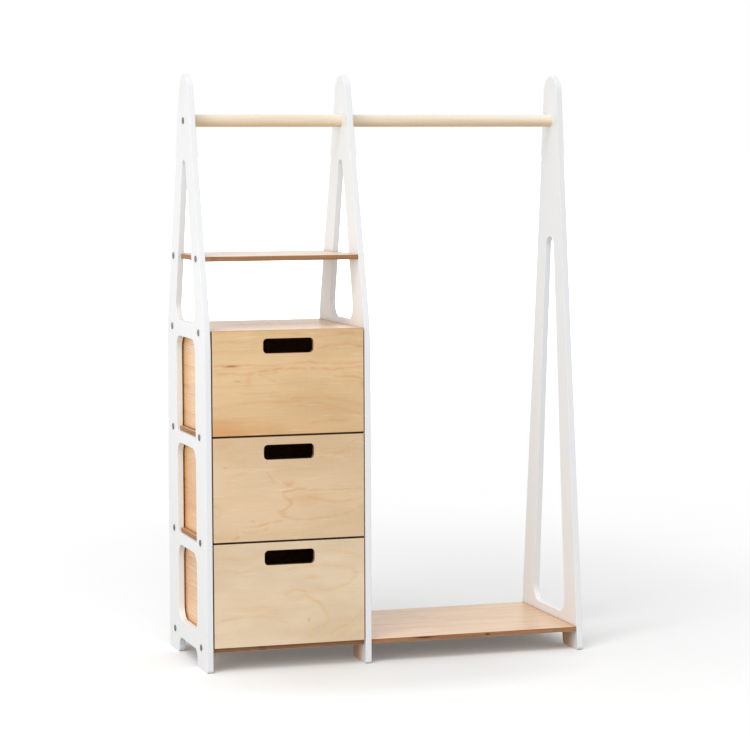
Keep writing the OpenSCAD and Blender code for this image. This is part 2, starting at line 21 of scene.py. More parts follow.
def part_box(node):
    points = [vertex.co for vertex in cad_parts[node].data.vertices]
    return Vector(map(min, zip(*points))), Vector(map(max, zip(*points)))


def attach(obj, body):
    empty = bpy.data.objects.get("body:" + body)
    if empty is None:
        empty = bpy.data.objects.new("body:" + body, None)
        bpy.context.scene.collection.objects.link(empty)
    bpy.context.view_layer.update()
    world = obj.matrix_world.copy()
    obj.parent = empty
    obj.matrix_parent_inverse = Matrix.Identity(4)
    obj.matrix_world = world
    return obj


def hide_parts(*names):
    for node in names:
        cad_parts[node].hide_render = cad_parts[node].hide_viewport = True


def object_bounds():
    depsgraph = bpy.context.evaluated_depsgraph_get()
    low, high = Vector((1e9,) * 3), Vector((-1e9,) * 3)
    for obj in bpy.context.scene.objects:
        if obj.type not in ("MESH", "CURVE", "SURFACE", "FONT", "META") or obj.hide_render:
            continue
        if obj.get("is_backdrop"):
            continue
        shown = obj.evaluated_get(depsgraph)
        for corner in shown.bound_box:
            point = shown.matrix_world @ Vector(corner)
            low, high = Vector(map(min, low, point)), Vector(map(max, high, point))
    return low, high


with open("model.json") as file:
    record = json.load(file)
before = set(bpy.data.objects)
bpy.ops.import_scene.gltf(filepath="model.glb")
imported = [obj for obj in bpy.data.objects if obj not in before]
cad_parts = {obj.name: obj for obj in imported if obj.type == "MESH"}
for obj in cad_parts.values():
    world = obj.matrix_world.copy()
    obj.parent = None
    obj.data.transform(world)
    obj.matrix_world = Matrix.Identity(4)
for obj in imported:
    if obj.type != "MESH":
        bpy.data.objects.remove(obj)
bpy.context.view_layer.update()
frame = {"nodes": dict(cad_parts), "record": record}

pieces = {}
body_of = {
    node: body for body, nodes in frame["record"]["behaviour"]["bodies"].items() for node in nodes
}

# %% [markdown]
# ## Drawing an outline
#
# Nearly every piece is cut from a flat sheet by a router, so one recipe makes them
# all. A point is extruded along each straight and spun round the centre of each
# rounded corner, which gives true arcs. The closed lines are filled together, so
# that windows need no cutting, the sheet is extruded to its thickness, and its
# sharp edges get the small bevel that sanding leaves. An operator acts on whatever
# is selected, so each step starts by saying what that is.

# %% The outline pen
X, Y, Z = Vector((1, 0, 0)), Vector((0, 1, 0)), Vector((0, 0, 1))
AXES = {"YZ": (X, Y, Z), "XZ": (Y, X, Z), "XY": (Z, X, Y)}
MM = 0.001
CLOSE = 0.02 * MM
ARC_STEP, ARC_REACH = math.radians(6), 12 * MM
FLAT, SHARP = math.radians(0.2), math.radians(40)
EASE_STEPS = 3
mesh, objects = bpy.ops.mesh, bpy.ops.object


def choose(*pieces):
    """Selects these objects and no others. The first one is the active one."""
    objects.select_all(action="DESELECT")
    for piece in pieces:
        piece.select_set(True)
    if pieces:
        bpy.context.view_layer.objects.active = pieces[0]


def with_all(step, **settings):
    """Runs an edit mode step with the whole mesh selected."""
    mesh.select_all(action="SELECT")
    step(**settings)


def empty_piece(name):
    """An object at the origin with no mesh yet, opened in edit mode."""
    choose()
    mesh.primitive_plane_add(size=MM)
    piece = bpy.context.object
    piece.name = piece.data.name = name
    objects.mode_set(mode="EDIT")
    mesh.select_mode(type="VERT")
    mesh.delete(type="VERT")
    return piece


def on_plane(plane, level, u, v):
    """The point u, v of a sheet that lies in that plane, level away from the origin."""
    out, first, second = AXES[plane]
    return out * level + first * u + second * v


def corner_arc(before, corner, after, radius):
    """Start and centre of the arc that rounds a corner, and the angle it turns through."""
    to_before, to_after = (before - corner).normalized(), (after - corner).normalized()
    half = to_before.angle(to_after) / 2
    start = corner + to_before * radius / math.tan(half)
    end = corner + to_after * radius / math.tan(half)
    centre = corner + (to_before + to_after).normalized() * radius / math.sin(half)
    spoke, last = start - centre, end - centre
    return start, centre, math.atan2(spoke.x * last.y - spoke.y * last.x, spoke.dot(last))


def start_point(place):
    """One loose vertex: a tiny plane merged at its centre."""
    mesh.select_all(action="DESELECT")
    mesh.primitive_plane_add(size=MM, location=place)
    mesh.merge(type="CENTER")


def extrude_point(step):
    """Draws one straight, unless the pen is there already."""
    if step.length > CLOSE:
        mesh.extrude_vertices_move(TRANSFORM_OT_translate={"value": step})


def pen_loop(plane, level, corners):
    """Draws a closed line through corners given as (u, v, radius)."""
    points = [Vector((u, v)) for u, v, _ in corners]
    _, first, second = AXES[plane]
    arcs = [
        corner_arc(points[i - 1], points[i], points[(i + 1) % len(points)], radius)
        for i, (_, _, radius) in enumerate(corners)
    ]
    begin = pen = arcs[0][0]
    start_point(on_plane(plane, level, *begin))
    for (_, _, radius), (start, centre, sweep) in zip(corners, arcs):
        extrude_point(on_plane(plane, 0, *(start - pen)))
        pen = start
        if radius:
            parts = abs(sweep) * max(1 / ARC_STEP, radius / ARC_REACH)
            mesh.spin(
                steps=2 * math.ceil(parts / 2), angle=-sweep,
                center=on_plane(plane, level, *centre), axis=first.cross(second),
            )
            pen = centre + Matrix.Rotation(sweep, 2) @ (start - centre)
    extrude_point(on_plane(plane, 0, *(begin - pen)))
    with_all(mesh.remove_doubles, threshold=CLOSE)


def sheet(name, plane, level, thickness, outline, openings=(), ease=MM):
    """A flat board: drawn, filled, given its thickness and eased along every edge."""
    piece = empty_piece(name)
    for loop in [outline, *openings]:
        pen_loop(plane, level, loop)
    with_all(mesh.fill, use_beauty=False)
    with_all(mesh.dissolve_limited, angle_limit=FLAT)
    with_all(
        mesh.extrude_region_move, TRANSFORM_OT_translate={"value": on_plane(plane, thickness, 0, 0)}
    )
    with_all(mesh.normals_make_consistent, inside=False)
    mesh.select_mode(type="EDGE")
    mesh.select_all(action="DESELECT")
    mesh.edges_select_sharp(sharpness=SHARP)
    mesh.bevel(
        offset=ease, segments=EASE_STEPS, affect="EDGES", clamp_overlap=False, loop_slide=False
    )
    objects.mode_set(mode="OBJECT")
    return piece


def rectangle(box, plane, corner=0):
    """The outline of a board that fills a box."""
    (_, u0, v0), (_, u1, v1) = ([end.dot(axis) for axis in AXES[plane]] for end in box)
    return [(u0, v0, corner), (u1, v0, corner), (u1, v1, corner), (u0, v1, corner)]


def opening(left, low, right, high, foot, head):
    """An opening with four corners, rounded by foot and head."""
    return [(left, low, foot), (left, high, head), (right, high, head), (right, low, foot)]


def plate(name, plane, box, ease, corner=0, openings=()):
    """A flat board that fills a box."""
    level, top = (end.dot(AXES[plane][0]) for end in box)
    return sheet(name, plane, level, top - level, rectangle(box, plane, corner), openings, ease)


print("an arc of 90 degrees gets", math.ceil(math.pi / 2 / ARC_STEP), "steps")

# %% [markdown]
# ## Turning, drilling and finishing
#
# Round pieces are turned as on a lathe: half of the section is drawn with the pen
# and spun a full circle. Holes and grooves are cut with a boolean, as a drill would
# cut them. At the end each piece gets smooth shading up to an angle, and a Weighted
# Normal modifier keeps its large faces truly flat beside the bevels.

# %% Lathe, drill and finish
LATHE_STEPS, DRILL_STEPS, FINE_DRILL_STEPS = 48, 24, 32


def turned(name, origin, axis, profile, steps=LATHE_STEPS):
    """A solid of revolution. The profile is (distance along the axis, radius)."""
    piece = empty_piece(name)
    side = Z if abs(axis.z) < 0.5 else X
    places = [origin + axis * along + side * radius for along, radius in profile]
    start_point(places[0])
    for before, place in zip(places, places[1:]):
        extrude_point(place - before)
    with_all(mesh.spin, steps=steps, angle=math.tau, center=origin, axis=axis)
    with_all(mesh.remove_doubles, threshold=CLOSE)
    with_all(mesh.normals_make_consistent, inside=False)
    objects.mode_set(mode="OBJECT")
    return piece


def settled():
    """The active object, with its place and turn applied."""
    objects.transform_apply(location=True, rotation=True, scale=True)
    return bpy.context.object


def bar(low, high):
    """A plain block between two corners, for cutting with."""
    choose()
    mesh.primitive_cube_add(size=1, location=(low + high) / 2, scale=high - low)
    return settled()


def rod(start, axis, radius, length, vertices=FINE_DRILL_STEPS):
    """A plain rod from its start along an axis, for cutting with."""
    choose()
    mesh.primitive_cylinder_add(
        vertices=vertices, radius=radius, depth=length,
        location=start + axis * length / 2, rotation=Z.rotation_difference(axis).to_euler(),
    )
    return settled()


def cut(piece, *cutters):
    """Takes the cutters out of the piece, one after the other, and removes them."""
    for cutter in cutters:
        choose(piece)
        objects.modifier_add(type="BOOLEAN")
        boolean = piece.modifiers[-1]
        boolean.operation, boolean.solver, boolean.object = "DIFFERENCE", "EXACT", cutter
        objects.modifier_apply(modifier=boolean.name)
        bpy.data.objects.remove(cutter)
    return piece


def smooth(piece, up_to=35):
    """Smooth shading up to some degrees, with flat faces kept flat."""
    choose(piece)
    objects.shade_smooth_by_angle(angle=math.radians(up_to))
    objects.modifier_add(type="WEIGHTED_NORMAL")
    weighted = piece.modifiers[-1]
    weighted.keep_sharp, weighted.weight = True, 100
    objects.modifier_apply(modifier=weighted.name)
    return piece


def copy_of(piece, shift, name):
    """A copy with its own mesh, moved by shift."""
    choose(piece)
    objects.duplicate()
    bpy.ops.transform.translate(value=shift)
    twin = settled()
    twin.name = twin.data.name = name
    return twin


def copies(first, places, name):
    """The first piece, at the first place, and a copy of it at each other place."""
    return [first] + [copy_of(first, place - places[0], name) for place in places[1:]]


def joined(name, pieces):
    """One object from several, for a node that holds a set of equal fasteners."""
    choose(*pieces)
    objects.join()
    pieces[0].name = pieces[0].data.name = name
    return pieces[0]


def stand_for(piece, node):
    """The piece takes the place of a solid, which it hides, on the same body."""
    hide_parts(node)
    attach(piece, body_of[node])
    pieces[node] = piece
    box = [Vector(piece.bound_box[corner]) for corner in (0, 6)]
    off = max((end - solid).length for end, solid in zip(box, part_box(node)))
    print(f"{piece.name}: {len(piece.data.polygons)} faces, {off / MM:.2f} mm off its solid's box")


print("lathe, drill and finish ready")

# %% [markdown]
# ## Where things are
#
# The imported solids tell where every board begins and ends. Only the shapes inside
# those boxes, such as the lean of a frame or the radius of a corner, are named here
# again, with the same values as the CAD source has.

# %% Places read from the solids


def span(node, axis):
    """Where a solid begins and ends along an axis."""
    return [end[axis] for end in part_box(node)]


left_x, tower_left = span("left_frame", 0)
tower_right, bay_left = span("middle_frame", 0)
bay_right, right_x = span("right_frame", 0)
frame_t = tower_left - left_x
half_depth, frame_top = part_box("left_frame")[1].yz
base_low, base_top = span("base_shelf", 2)
board_t = base_top - base_low
divider_lows = [span(node, 2)[0] for node in ("tower_divider_lower", "tower_divider_upper")]
lid_low, lid_top = span("tower_top", 2)
shelf_low, shelf_top = span("upper_shelf", 2)
rail_low, rail_high = span("hanging_rail", 2)
rail_z, rail_radius = (rail_low + rail_high) / 2, (rail_high - rail_low) / 2
panel_y, panel_back = span("back_panel", 1)
tower_middle = (tower_left + tower_right) / 2
print(f"frames {frame_t / MM:.1f} mm and boards {board_t / MM:.1f} mm thick")
print(f"rail {2 * rail_radius / MM:.1f} mm thick, its middle {rail_z / MM:.0f} mm up")

# %% Places of the bolts
BOLT_IN, SHELF_BOLT_IN = 61 * MM, 32 * MM
BOLT_RADIUS, BOLT_HOLE_RADIUS = 3 * MM, 3.25 * MM
bolt_y = half_depth - BOLT_IN
shelf_bolt_y = span("upper_shelf", 1)[1] - SHELF_BOLT_IN
base_bolts = [(side * bolt_y, base_low + board_t / 2) for side in (-1, 1)]
tower_bolts = [
    (side * bolt_y, low + board_t / 2) for low in (*divider_lows, lid_low) for side in (-1, 1)
]
shelf_bolts = [(side * shelf_bolt_y, shelf_low + board_t / 2) for side in (-1, 1)]
rail_bolt = (0, rail_z)
frame_bolts = [*base_bolts, *tower_bolts, *shelf_bolts]
print(len(frame_bolts), "bolts per tower frame, and one for the rail")

# %% [markdown]
# ## The three frames
#
# Each frame is one painted board. The two tower frames go straight up to a wide
# shoulder and then lean in to a round tip. They have three openings beside the
# drawers and a tall tapered window. The frame at the far end of the bay leans all
# the way, like a letter A. A painted edge is never sharp, so these edges are eased
# by a little more than a millimetre.

# %% Outlines of the frames
TIP_RADIUS = 44 * MM
SHOULDER_RADIUS, SHOULDER_DROP = 500 * MM, 4 * MM
UPRIGHT_WIDTH, CROSSBAR = 101 * MM, 28 * MM
OPENING_RADIUS, HEAD_DROP, LOW_SILL = 35 * MM, 14 * MM, 26.5 * MM
WINDOW_HALF, WINDOW_SILL, WINDOW_DROP, WINDOW_TIP = 108 * MM, 13 * MM, 95 * MM, 18 * MM
END_HALF, END_SILL, END_DROP, END_TIP = 111 * MM, 21.5 * MM, 293 * MM, 26 * MM
ARCH_HALF, ARCH_HEIGHT, ARCH_RADIUS = 97 * MM, 40 * MM, 26 * MM
FOOT_RADIUS, TOE_RADIUS = 8 * MM, 12 * MM
FRAME_EASE = 1.3 * MM
RAIL_GAP = 0.3 * MM


def apex(half, low, high, radius):
    """Height at which two leaning sides meet, if they touch a circle whose top is at high."""
    rise = high - radius - low
    lean = math.atan2(rise, half) + math.asin(radius / math.hypot(half, rise))
    return low + half * math.tan(lean)


def gable(half, low, high, foot, tip):
    """An opening that tapers to a round tip."""
    return [(-half, low, foot), (0, apex(half, low, high, tip), tip), (half, low, foot)]


def side_opening(low, high, foot=OPENING_RADIUS):
    """An opening beside a drawer."""
    return opening(-inner_half, low, inner_half, high, foot, OPENING_RADIUS)


def disc(place, radius):
    """A round hole as four corners that are rounded until they meet."""
    u, v = place
    return opening(u - radius, v - radius, u + radius, v + radius, radius, radius)


feet = [
    (half_depth, 0, FOOT_RADIUS), (ARCH_HALF, 0, TOE_RADIUS),
    (ARCH_HALF, ARCH_HEIGHT, ARCH_RADIUS), (-ARCH_HALF, ARCH_HEIGHT, ARCH_RADIUS),
    (-ARCH_HALF, 0, TOE_RADIUS), (-half_depth, 0, FOOT_RADIUS),
]
shoulder_z = lid_top - SHOULDER_DROP
window_low, window_high = lid_top + WINDOW_SILL, rail_z - WINDOW_DROP
inner_half = half_depth - UPRIGHT_WIDTH
tower_outline = [
    (-half_depth, shoulder_z, SHOULDER_RADIUS),
    (0, apex(half_depth, shoulder_z, frame_top, TIP_RADIUS), TIP_RADIUS),
    (half_depth, shoulder_z, SHOULDER_RADIUS), *feet,
]
tower_openings = [
    gable(WINDOW_HALF, window_low, window_high, OPENING_RADIUS, WINDOW_TIP),
    side_opening(divider_lows[1], lid_low - HEAD_DROP, 0),
    side_opening(divider_lows[0], divider_lows[1] - CROSSBAR, 0),
    side_opening(base_top + LOW_SILL, divider_lows[0] - CROSSBAR),
]
end_outline = [(0, apex(half_depth, 0, frame_top, TIP_RADIUS), TIP_RADIUS), *feet]
end_opening = gable(END_HALF, base_top + END_SILL, rail_z - END_DROP, OPENING_RADIUS, END_TIP)
print("a tower frame has", len(tower_openings), "openings, the end frame has one")

# %% Cutting the frames
for node, outline, openings, bolts, rail_hole in (
    ("left_frame", tower_outline, tower_openings, frame_bolts, BOLT_HOLE_RADIUS),
    ("middle_frame", tower_outline, tower_openings, frame_bolts, rail_radius + RAIL_GAP),
    ("right_frame", end_outline, [end_opening], base_bolts, BOLT_HOLE_RADIUS),
):
    holes = [disc(place, BOLT_HOLE_RADIUS) for place in bolts] + [disc(rail_bolt, rail_hole)]
    level, openings = span(node, 0)[0], [*openings, *holes]
    piece = sheet(node + "_board", "YZ", level, frame_t, outline, openings, FRAME_EASE)
    stand_for(smooth(piece), node)

# %% [markdown]
# ## The boards between the frames
#
# Shelves, dividers, lid and base are 12 mm plywood. Each one is held by bolts that
# run into its ends and meet a nut in a bore from below, so both bores are drilled.
# The dividers and the upper shelf also have tongues that reach into the frames'
# openings, and the lid and the base have a groove for the tower's back panel.

# %% The tower's boards and the two shelves
NUT_IN, NUT_HEIGHT = 34 * MM, 9.5 * MM
NUT_RADIUS, CAM_RADIUS = 5 * MM, 7.5 * MM
GLUE_GAP, TONGUE_GAP = 0.1 * MM, 0.5 * MM
OVER = 1 * MM
BOARD_EASE = 0.8 * MM
PANEL_GROOVE = 4 * MM
BOLT_REACH = NUT_IN + 2 * BOLT_RADIUS + 2 * OVER
window_apex = apex(WINDOW_HALF, window_low, window_high, WINDOW_TIP)
window_half = WINDOW_HALF * (window_apex - shelf_top) / (window_apex - window_low)


def end_bores(x, inward, bolt_out, low, radius):
    """Cutters for the bolts in one end of a board, and for the nuts or cams from below."""
    cutters = []
    for y in (-bolt_out, bolt_out):
        mouth = Vector((x - inward.x * OVER, y, low + board_t / 2))
        nut_mouth = Vector((x + inward.x * NUT_IN, y, low - OVER))
        cutters.append(rod(mouth, inward, BOLT_HOLE_RADIUS, BOLT_REACH, DRILL_STEPS))
        cutters.append(rod(nut_mouth, Z, radius + GLUE_GAP, NUT_HEIGHT + GLUE_GAP + OVER))
    return cutters


def board(
    node, left=tower_left, right=tower_right, radii=(NUT_RADIUS, NUT_RADIUS), bolt_out=bolt_y,
    tongue=0, groove=0,
):
    """A board between two frames. A tongue is given by half its width, a groove by its height."""
    (x0, y0, low), (x1, y1, _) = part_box(node)
    cutters = end_bores(left, X, bolt_out, low, radii[0])
    cutters += end_bores(right, -X, bolt_out, low, radii[1])
    if groove:
        cutters.append(bar(
            Vector((left - OVER, panel_y - GLUE_GAP, groove)),
            Vector((right + OVER, panel_back + GLUE_GAP, groove + PANEL_GROOVE + OVER)),
        ))
    plan = [(u, v, 0) for u, v in (
        (left, y0), (right, y0), (right, -tongue), (x1, -tongue), (x1, tongue), (right, tongue),
        (right, y1), (left, y1), (left, tongue), (x0, tongue), (x0, -tongue), (left, -tongue),
    )] if tongue else rectangle(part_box(node), "XY")
    piece = sheet(node + "_board", "XY", low, board_t, plan, ease=BOARD_EASE)
    stand_for(smooth(cut(piece, *cutters)), node)


board("tower_base", radii=(NUT_RADIUS, CAM_RADIUS), groove=base_top - PANEL_GROOVE)
board("tower_divider_lower", tongue=inner_half - TONGUE_GAP)
board("tower_divider_upper", tongue=inner_half - TONGUE_GAP)
board("tower_top", groove=lid_low - OVER)
board("upper_shelf", bolt_out=shelf_bolt_y, tongue=window_half - TONGUE_GAP)
board("base_shelf", bay_left, bay_right, (CAM_RADIUS, NUT_RADIUS))

# %% [markdown]
# ## Back panel and mirror
#
# The panel closes the tower's back and stands in the grooves of lid and base. The
# mirror is a thin sheet with round corners, held flat against the panel by six
# screws under domed caps. Its rim is polished, so its bevel is small and crisp.

# %% Panel and mirror
MIRROR_CORNER, MIRROR_SCREW_IN, MIRROR_EASE = 18 * MM, 22 * MM, 0.5 * MM
MIRROR_SHADING = 20
SCREW_RADIUS, SCREW_HEAD_RADIUS, SCREW_LENGTH = 1.75 * MM, 3.5 * MM, 30 * MM
MIRROR_HOLE_RADIUS, MIRROR_HOLE_DEPTH = 2 * MM, 7.5 * MM
PANEL_SCREW_SHARES = (-0.36, 0, 0.36)

mirror_low, mirror_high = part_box("mirror")
mirror_screws = [
    (x, z)
    for x in (mirror_low.x + MIRROR_SCREW_IN, mirror_high.x - MIRROR_SCREW_IN)
    for z in (
        mirror_low.z + MIRROR_SCREW_IN, (mirror_low.z + mirror_high.z) / 2,
        mirror_high.z - MIRROR_SCREW_IN,
    )
]


def sunk_hole(place, inward, length):
    """A cutter for a countersunk screw hole, from a face into the wood."""
    wide = SCREW_HEAD_RADIUS + GLUE_GAP
    return turned("hole", place, inward, [
        (-OVER, 0), (-OVER, wide), (GLUE_GAP, wide), (GLUE_GAP + wide - SCREW_RADIUS, SCREW_RADIUS),
        (length, SCREW_RADIUS), (length, 0),
    ], DRILL_STEPS)


panel = plate("back_panel_sheet", "XZ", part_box("back_panel"), BOARD_EASE)
tower_width = tower_right - tower_left
cut(panel, *[
    rod(Vector((x, panel_back + OVER, z)), -Y, SCREW_RADIUS, MIRROR_HOLE_DEPTH, DRILL_STEPS)
    for x, z in mirror_screws
], *[
    sunk_hole(
        Vector((tower_middle + share * tower_width, panel_back, low + board_t / 2)),
        -Y, panel_back - panel_y + OVER,
    )
    for share in PANEL_SCREW_SHARES for low in divider_lows
])
stand_for(smooth(panel), "back_panel")

mirror_holes = [disc(place, MIRROR_HOLE_RADIUS) for place in mirror_screws]
mirror_sheet = plate(
    "mirror_sheet", "XZ", (mirror_low, mirror_high), MIRROR_EASE, MIRROR_CORNER, mirror_holes
)
stand_for(smooth(mirror_sheet, MIRROR_SHADING), "mirror")

# %% Domed caps
CAP_RADIUS, CAP_HEIGHT, CAP_SHANK, CAP_RIM = 7 * MM, 3.6 * MM, 9.5 * MM, 0.2 * MM
DOME_STEPS = 8
dome_radius = (CAP_RADIUS**2 + CAP_HEIGHT**2) / (2 * CAP_HEIGHT)
dome_half = math.asin(CAP_RADIUS / dome_radius)
dome = [
    (CAP_HEIGHT - dome_radius * (1 - math.cos(turn)), dome_radius * math.sin(turn))
    for turn in (dome_half * (1 - i / DOME_STEPS) for i in range(DOME_STEPS + 1))
]
shank_radius = SCREW_RADIUS - GLUE_GAP
cap_places = [Vector((x, mirror_high.y, z)) for x, z in mirror_screws]
first_cap = smooth(turned("cap", cap_places[0], Y, [
    (-CAP_SHANK, 0), (-CAP_SHANK, shank_radius), (0, shank_radius), (0, CAP_RADIUS - CAP_RIM),
    *dome,
]))
stand_for(joined("mirror_screw_caps", copies(first_cap, cap_places, "cap")), "mirror_screws")

# %% [markdown]
# ## The rail
#
# A beech rail for clothes hangers, turned with slightly broken ends. It passes
# through the middle frame and butts against the two outer ones, where a bolt runs
# into a threaded insert in its end.

# %% Turning the rail
RAIL_STEPS = 72
RAIL_EASE = 0.8 * MM
INSERT_RADIUS, INSERT_DEPTH = 5 * MM, 21 * MM
rail_x0, rail_x1 = span("hanging_rail", 0)
rail_l = rail_x1 - rail_x0
rail_start, rail_end = Vector((rail_x0, 0, rail_z)), Vector((rail_x1, 0, rail_z))
rail_ends = ((rail_start, X), (rail_end, -X))
rail = turned("hanging_rail_bar", rail_start, X, [
    (0, 0), (0, rail_radius - RAIL_EASE), (RAIL_EASE / 3, rail_radius - RAIL_EASE / 3),
    (RAIL_EASE, rail_radius), (rail_l - RAIL_EASE, rail_radius),
    (rail_l - RAIL_EASE / 3, rail_radius - RAIL_EASE / 3), (rail_l, rail_radius - RAIL_EASE),
    (rail_l, 0),
], RAIL_STEPS)
cut(rail, *[
    rod(end - inward * OVER, inward, radius, reach)
    for radius, reach in (
        (INSERT_RADIUS + GLUE_GAP, INSERT_DEPTH + OVER), (BOLT_HOLE_RADIUS, BOLT_REACH)
    )
    for end, inward in rail_ends
])
stand_for(smooth(rail), "hanging_rail")

# %% [markdown]
# ## Bolts, nuts and cams
#
# What shows of the fittings is small but sets the character of the piece: flat
# round heads with a hexagon socket on the frames, and under the boards the ends of
# the barrel nuts with their slot, or of the cams with their cross. Each is turned
# once and copied to its places. An attribute keeps the distance from the axis,
# so that the finish can show the marks of the lathe.

# %% Bolts
HEAD_PROFILE = [(2.2, 0), (2.2, 7.1), (2.1, 7.55), (1.8, 7.85), (1.3, 8), (0, 8)]
HEAD_HEIGHT, BOLT_POINT = 2.2 * MM, 0.8 * MM
SOCKET_RADIUS, SOCKET_DEPTH = 4 * MM / 2 / math.cos(math.radians(30)), 2.6 * MM
BOLT_LENGTH = frame_t + NUT_IN + 2 * BOLT_RADIUS
TURNING = "turning"


def fitting(name, origin, axis, profile, cutters, steps=LATHE_STEPS):
    """A turned and cut fitting, whose points keep their distance from the axis in millimetres."""
    piece = cut(turned(name, origin, axis, profile, steps), *cutters)
    layer = piece.data.attributes.new(TURNING, "FLOAT", "POINT")
    for i, vertex in enumerate(piece.data.vertices):
        arm = vertex.co - origin
        layer.data[i].value = (arm - axis * arm.dot(axis)).length / MM
    return smooth(piece)


def bolt(origin, inward):
    """A flat-headed bolt whose head lies on the face at origin."""
    over = origin - inward * (HEAD_HEIGHT + OVER)
    return fitting("bolt", origin, inward, [
        *((-along * MM, radius * MM) for along, radius in HEAD_PROFILE),
        (0, BOLT_RADIUS), (BOLT_LENGTH - BOLT_POINT, BOLT_RADIUS),
        (BOLT_LENGTH, BOLT_RADIUS - BOLT_POINT), (BOLT_LENGTH, 0),
    ], [rod(over, inward, SOCKET_RADIUS, SOCKET_DEPTH + OVER, 6)])


for node, head_x, inward, bolts in (
    ("left_frame_bolts", left_x, X, [*frame_bolts, rail_bolt]),
    ("middle_frame_bolts", bay_left, -X, [*tower_bolts, *shelf_bolts]),
    ("right_frame_bolts", right_x, -X, [*base_bolts, rail_bolt]),
):
    places = [Vector((head_x, y, z)) for y, z in bolts]
    stand_for(joined(node + "_set", copies(bolt(places[0], inward), places, "bolt")), node)

# %% Nuts and cams
NUT_EASE, NUT_STEPS = 0.5 * MM, 32
SLOT_WIDTH, SLOT_DEPTH, SLOT_SHARE = 1.4 * MM, 1.6 * MM, 0.7


def cross_nut(foot, radius, slots):
    """A nut or cam that stands in its bore, pierced by the bolt and slotted at its foot."""
    side = foot + Vector((-2 * radius, 0, board_t / 2))
    cutters = [rod(side, X, BOLT_RADIUS + GLUE_GAP, 4 * radius, DRILL_STEPS)]
    for slot in slots:
        arm = slot * (radius * SLOT_SHARE) + slot.cross(Z) * (SLOT_WIDTH / 2)
        far = Vector(map(abs, arm))
        cutters.append(bar(foot - far - Z * OVER, foot + far + Z * SLOT_DEPTH))
    return fitting("nut", foot, Z, [
        (0, 0), (0, radius - NUT_EASE), (NUT_EASE, radius), (NUT_HEIGHT - NUT_EASE, radius),
        (NUT_HEIGHT, radius - NUT_EASE), (NUT_HEIGHT, 0),
    ], cutters, NUT_STEPS)


for node, radius, slots, rows in (
    ("barrel_nuts", NUT_RADIUS, [X], (
        (tower_left + NUT_IN, frame_bolts), (tower_right - NUT_IN, [*tower_bolts, *shelf_bolts]),
        (bay_right - NUT_IN, base_bolts),
    )),
    ("link_cams", CAM_RADIUS, [X, Y], (
        (tower_right - NUT_IN, base_bolts), (bay_left + NUT_IN, base_bolts),
    )),
):
    places = [Vector((x, y, z - board_t / 2)) for x, bolts in rows for y, z in bolts]
    nuts = copies(cross_nut(places[0], radius, slots), places, "nut")
    stand_for(joined(node + "_set", nuts), node)

# %% [markdown]
# ## A drawer
#
# Three equal drawers are five sheets of plywood each: a front with a finger slot,
# two sides, a back between them and a thin bottom in a groove. Six dowels hold the
# front, and six screws go through the sides into the back. One drawer is made
# in its lowest place, and its pieces are copied for the other two.

# %% One drawer
SLOT_W, SLOT_H, SLOT_CORNER, SLOT_DROP = 125 * MM, 36 * MM, 10 * MM, 19.5 * MM
FRONT_EASE, BOTTOM_EASE = 0.5 * MM, 0.4 * MM
DOWEL_RADIUS, DOWEL_IN, DOWEL_LENGTH = 3 * MM, 8.5 * MM, 24 * MM
DOWEL_SHARES, SCREW_SHARES = (0.2, 0.5, 0.8), (0.25, 0.5, 0.75)

front_low, front_high = front_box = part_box("drawer_lower_front")
side_boxes = [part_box("drawer_lower_side_" + side) for side in ("left", "right")]
side_low, side_high = side_boxes[0]
back_box, bottom_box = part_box("drawer_lower_back"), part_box("drawer_lower_bottom")
screw_y = (back_box[0].y + back_box[1].y) / 2


def heights(shares):
    """Heights at some shares of a side."""
    return [side_low.z + share * (side_high.z - side_low.z) for share in shares]


screw_places = [
    (Vector((x, screw_y, z)), inward)
    for x, inward in ((side_low.x, X), (side_boxes[1][1].x, -X)) for z in heights(SCREW_SHARES)
]


def grooved(piece):
    """Cuts the groove for the bottom, open at the back, and the holes of the dowels."""
    gap = Vector((GLUE_GAP, GLUE_GAP, GLUE_GAP))
    return cut(piece, bar(bottom_box[0] - gap, bottom_box[1] + gap + Y * OVER), *[
        rod(
            Vector(((low.x + high.x) / 2, front_high.y - DOWEL_IN - GLUE_GAP, z)),
            Y, DOWEL_RADIUS + GLUE_GAP, DOWEL_LENGTH + 2 * GLUE_GAP, DRILL_STEPS,
        )
        for low, high in side_boxes for z in heights(DOWEL_SHARES)
    ])


slot_top = front_high.z - SLOT_DROP
slot = opening(
    tower_middle - SLOT_W / 2, slot_top - SLOT_H, tower_middle + SLOT_W / 2, slot_top,
    SLOT_CORNER, SLOT_CORNER,
)
drawer = {"front": grooved(plate("drawer_front", "XZ", front_box, FRONT_EASE, openings=[slot]))}
for side, box in zip(("side_left", "side_right"), side_boxes):
    low, high = box
    drawer[side] = cut(grooved(plate("drawer_side", "YZ", box, BOARD_EASE)), *[
        sunk_hole(place, inward, high.x - low.x + OVER) for place, inward in screw_places
        if low.x - OVER < place.x < high.x + OVER
    ])
drawer["back"] = cut(plate("drawer_back", "XZ", back_box, BOARD_EASE), *[
    rod(
        place + inward * (side_high.x - side_low.x - OVER), inward,
        SCREW_RADIUS, SCREW_LENGTH, DRILL_STEPS,
    )
    for place, inward in screw_places
])
drawer["bottom"] = plate("drawer_bottom", "XY", bottom_box, BOTTOM_EASE)
print("a drawer has", len(drawer), "sheets and", len(screw_places), "screws")

# %% Screws of the drawer
RECESS_WIDTH, RECESS_REACH, RECESS_DEPTH = 0.9 * MM, 2 * MM, 1.5 * MM
SCREW_STEPS = 32


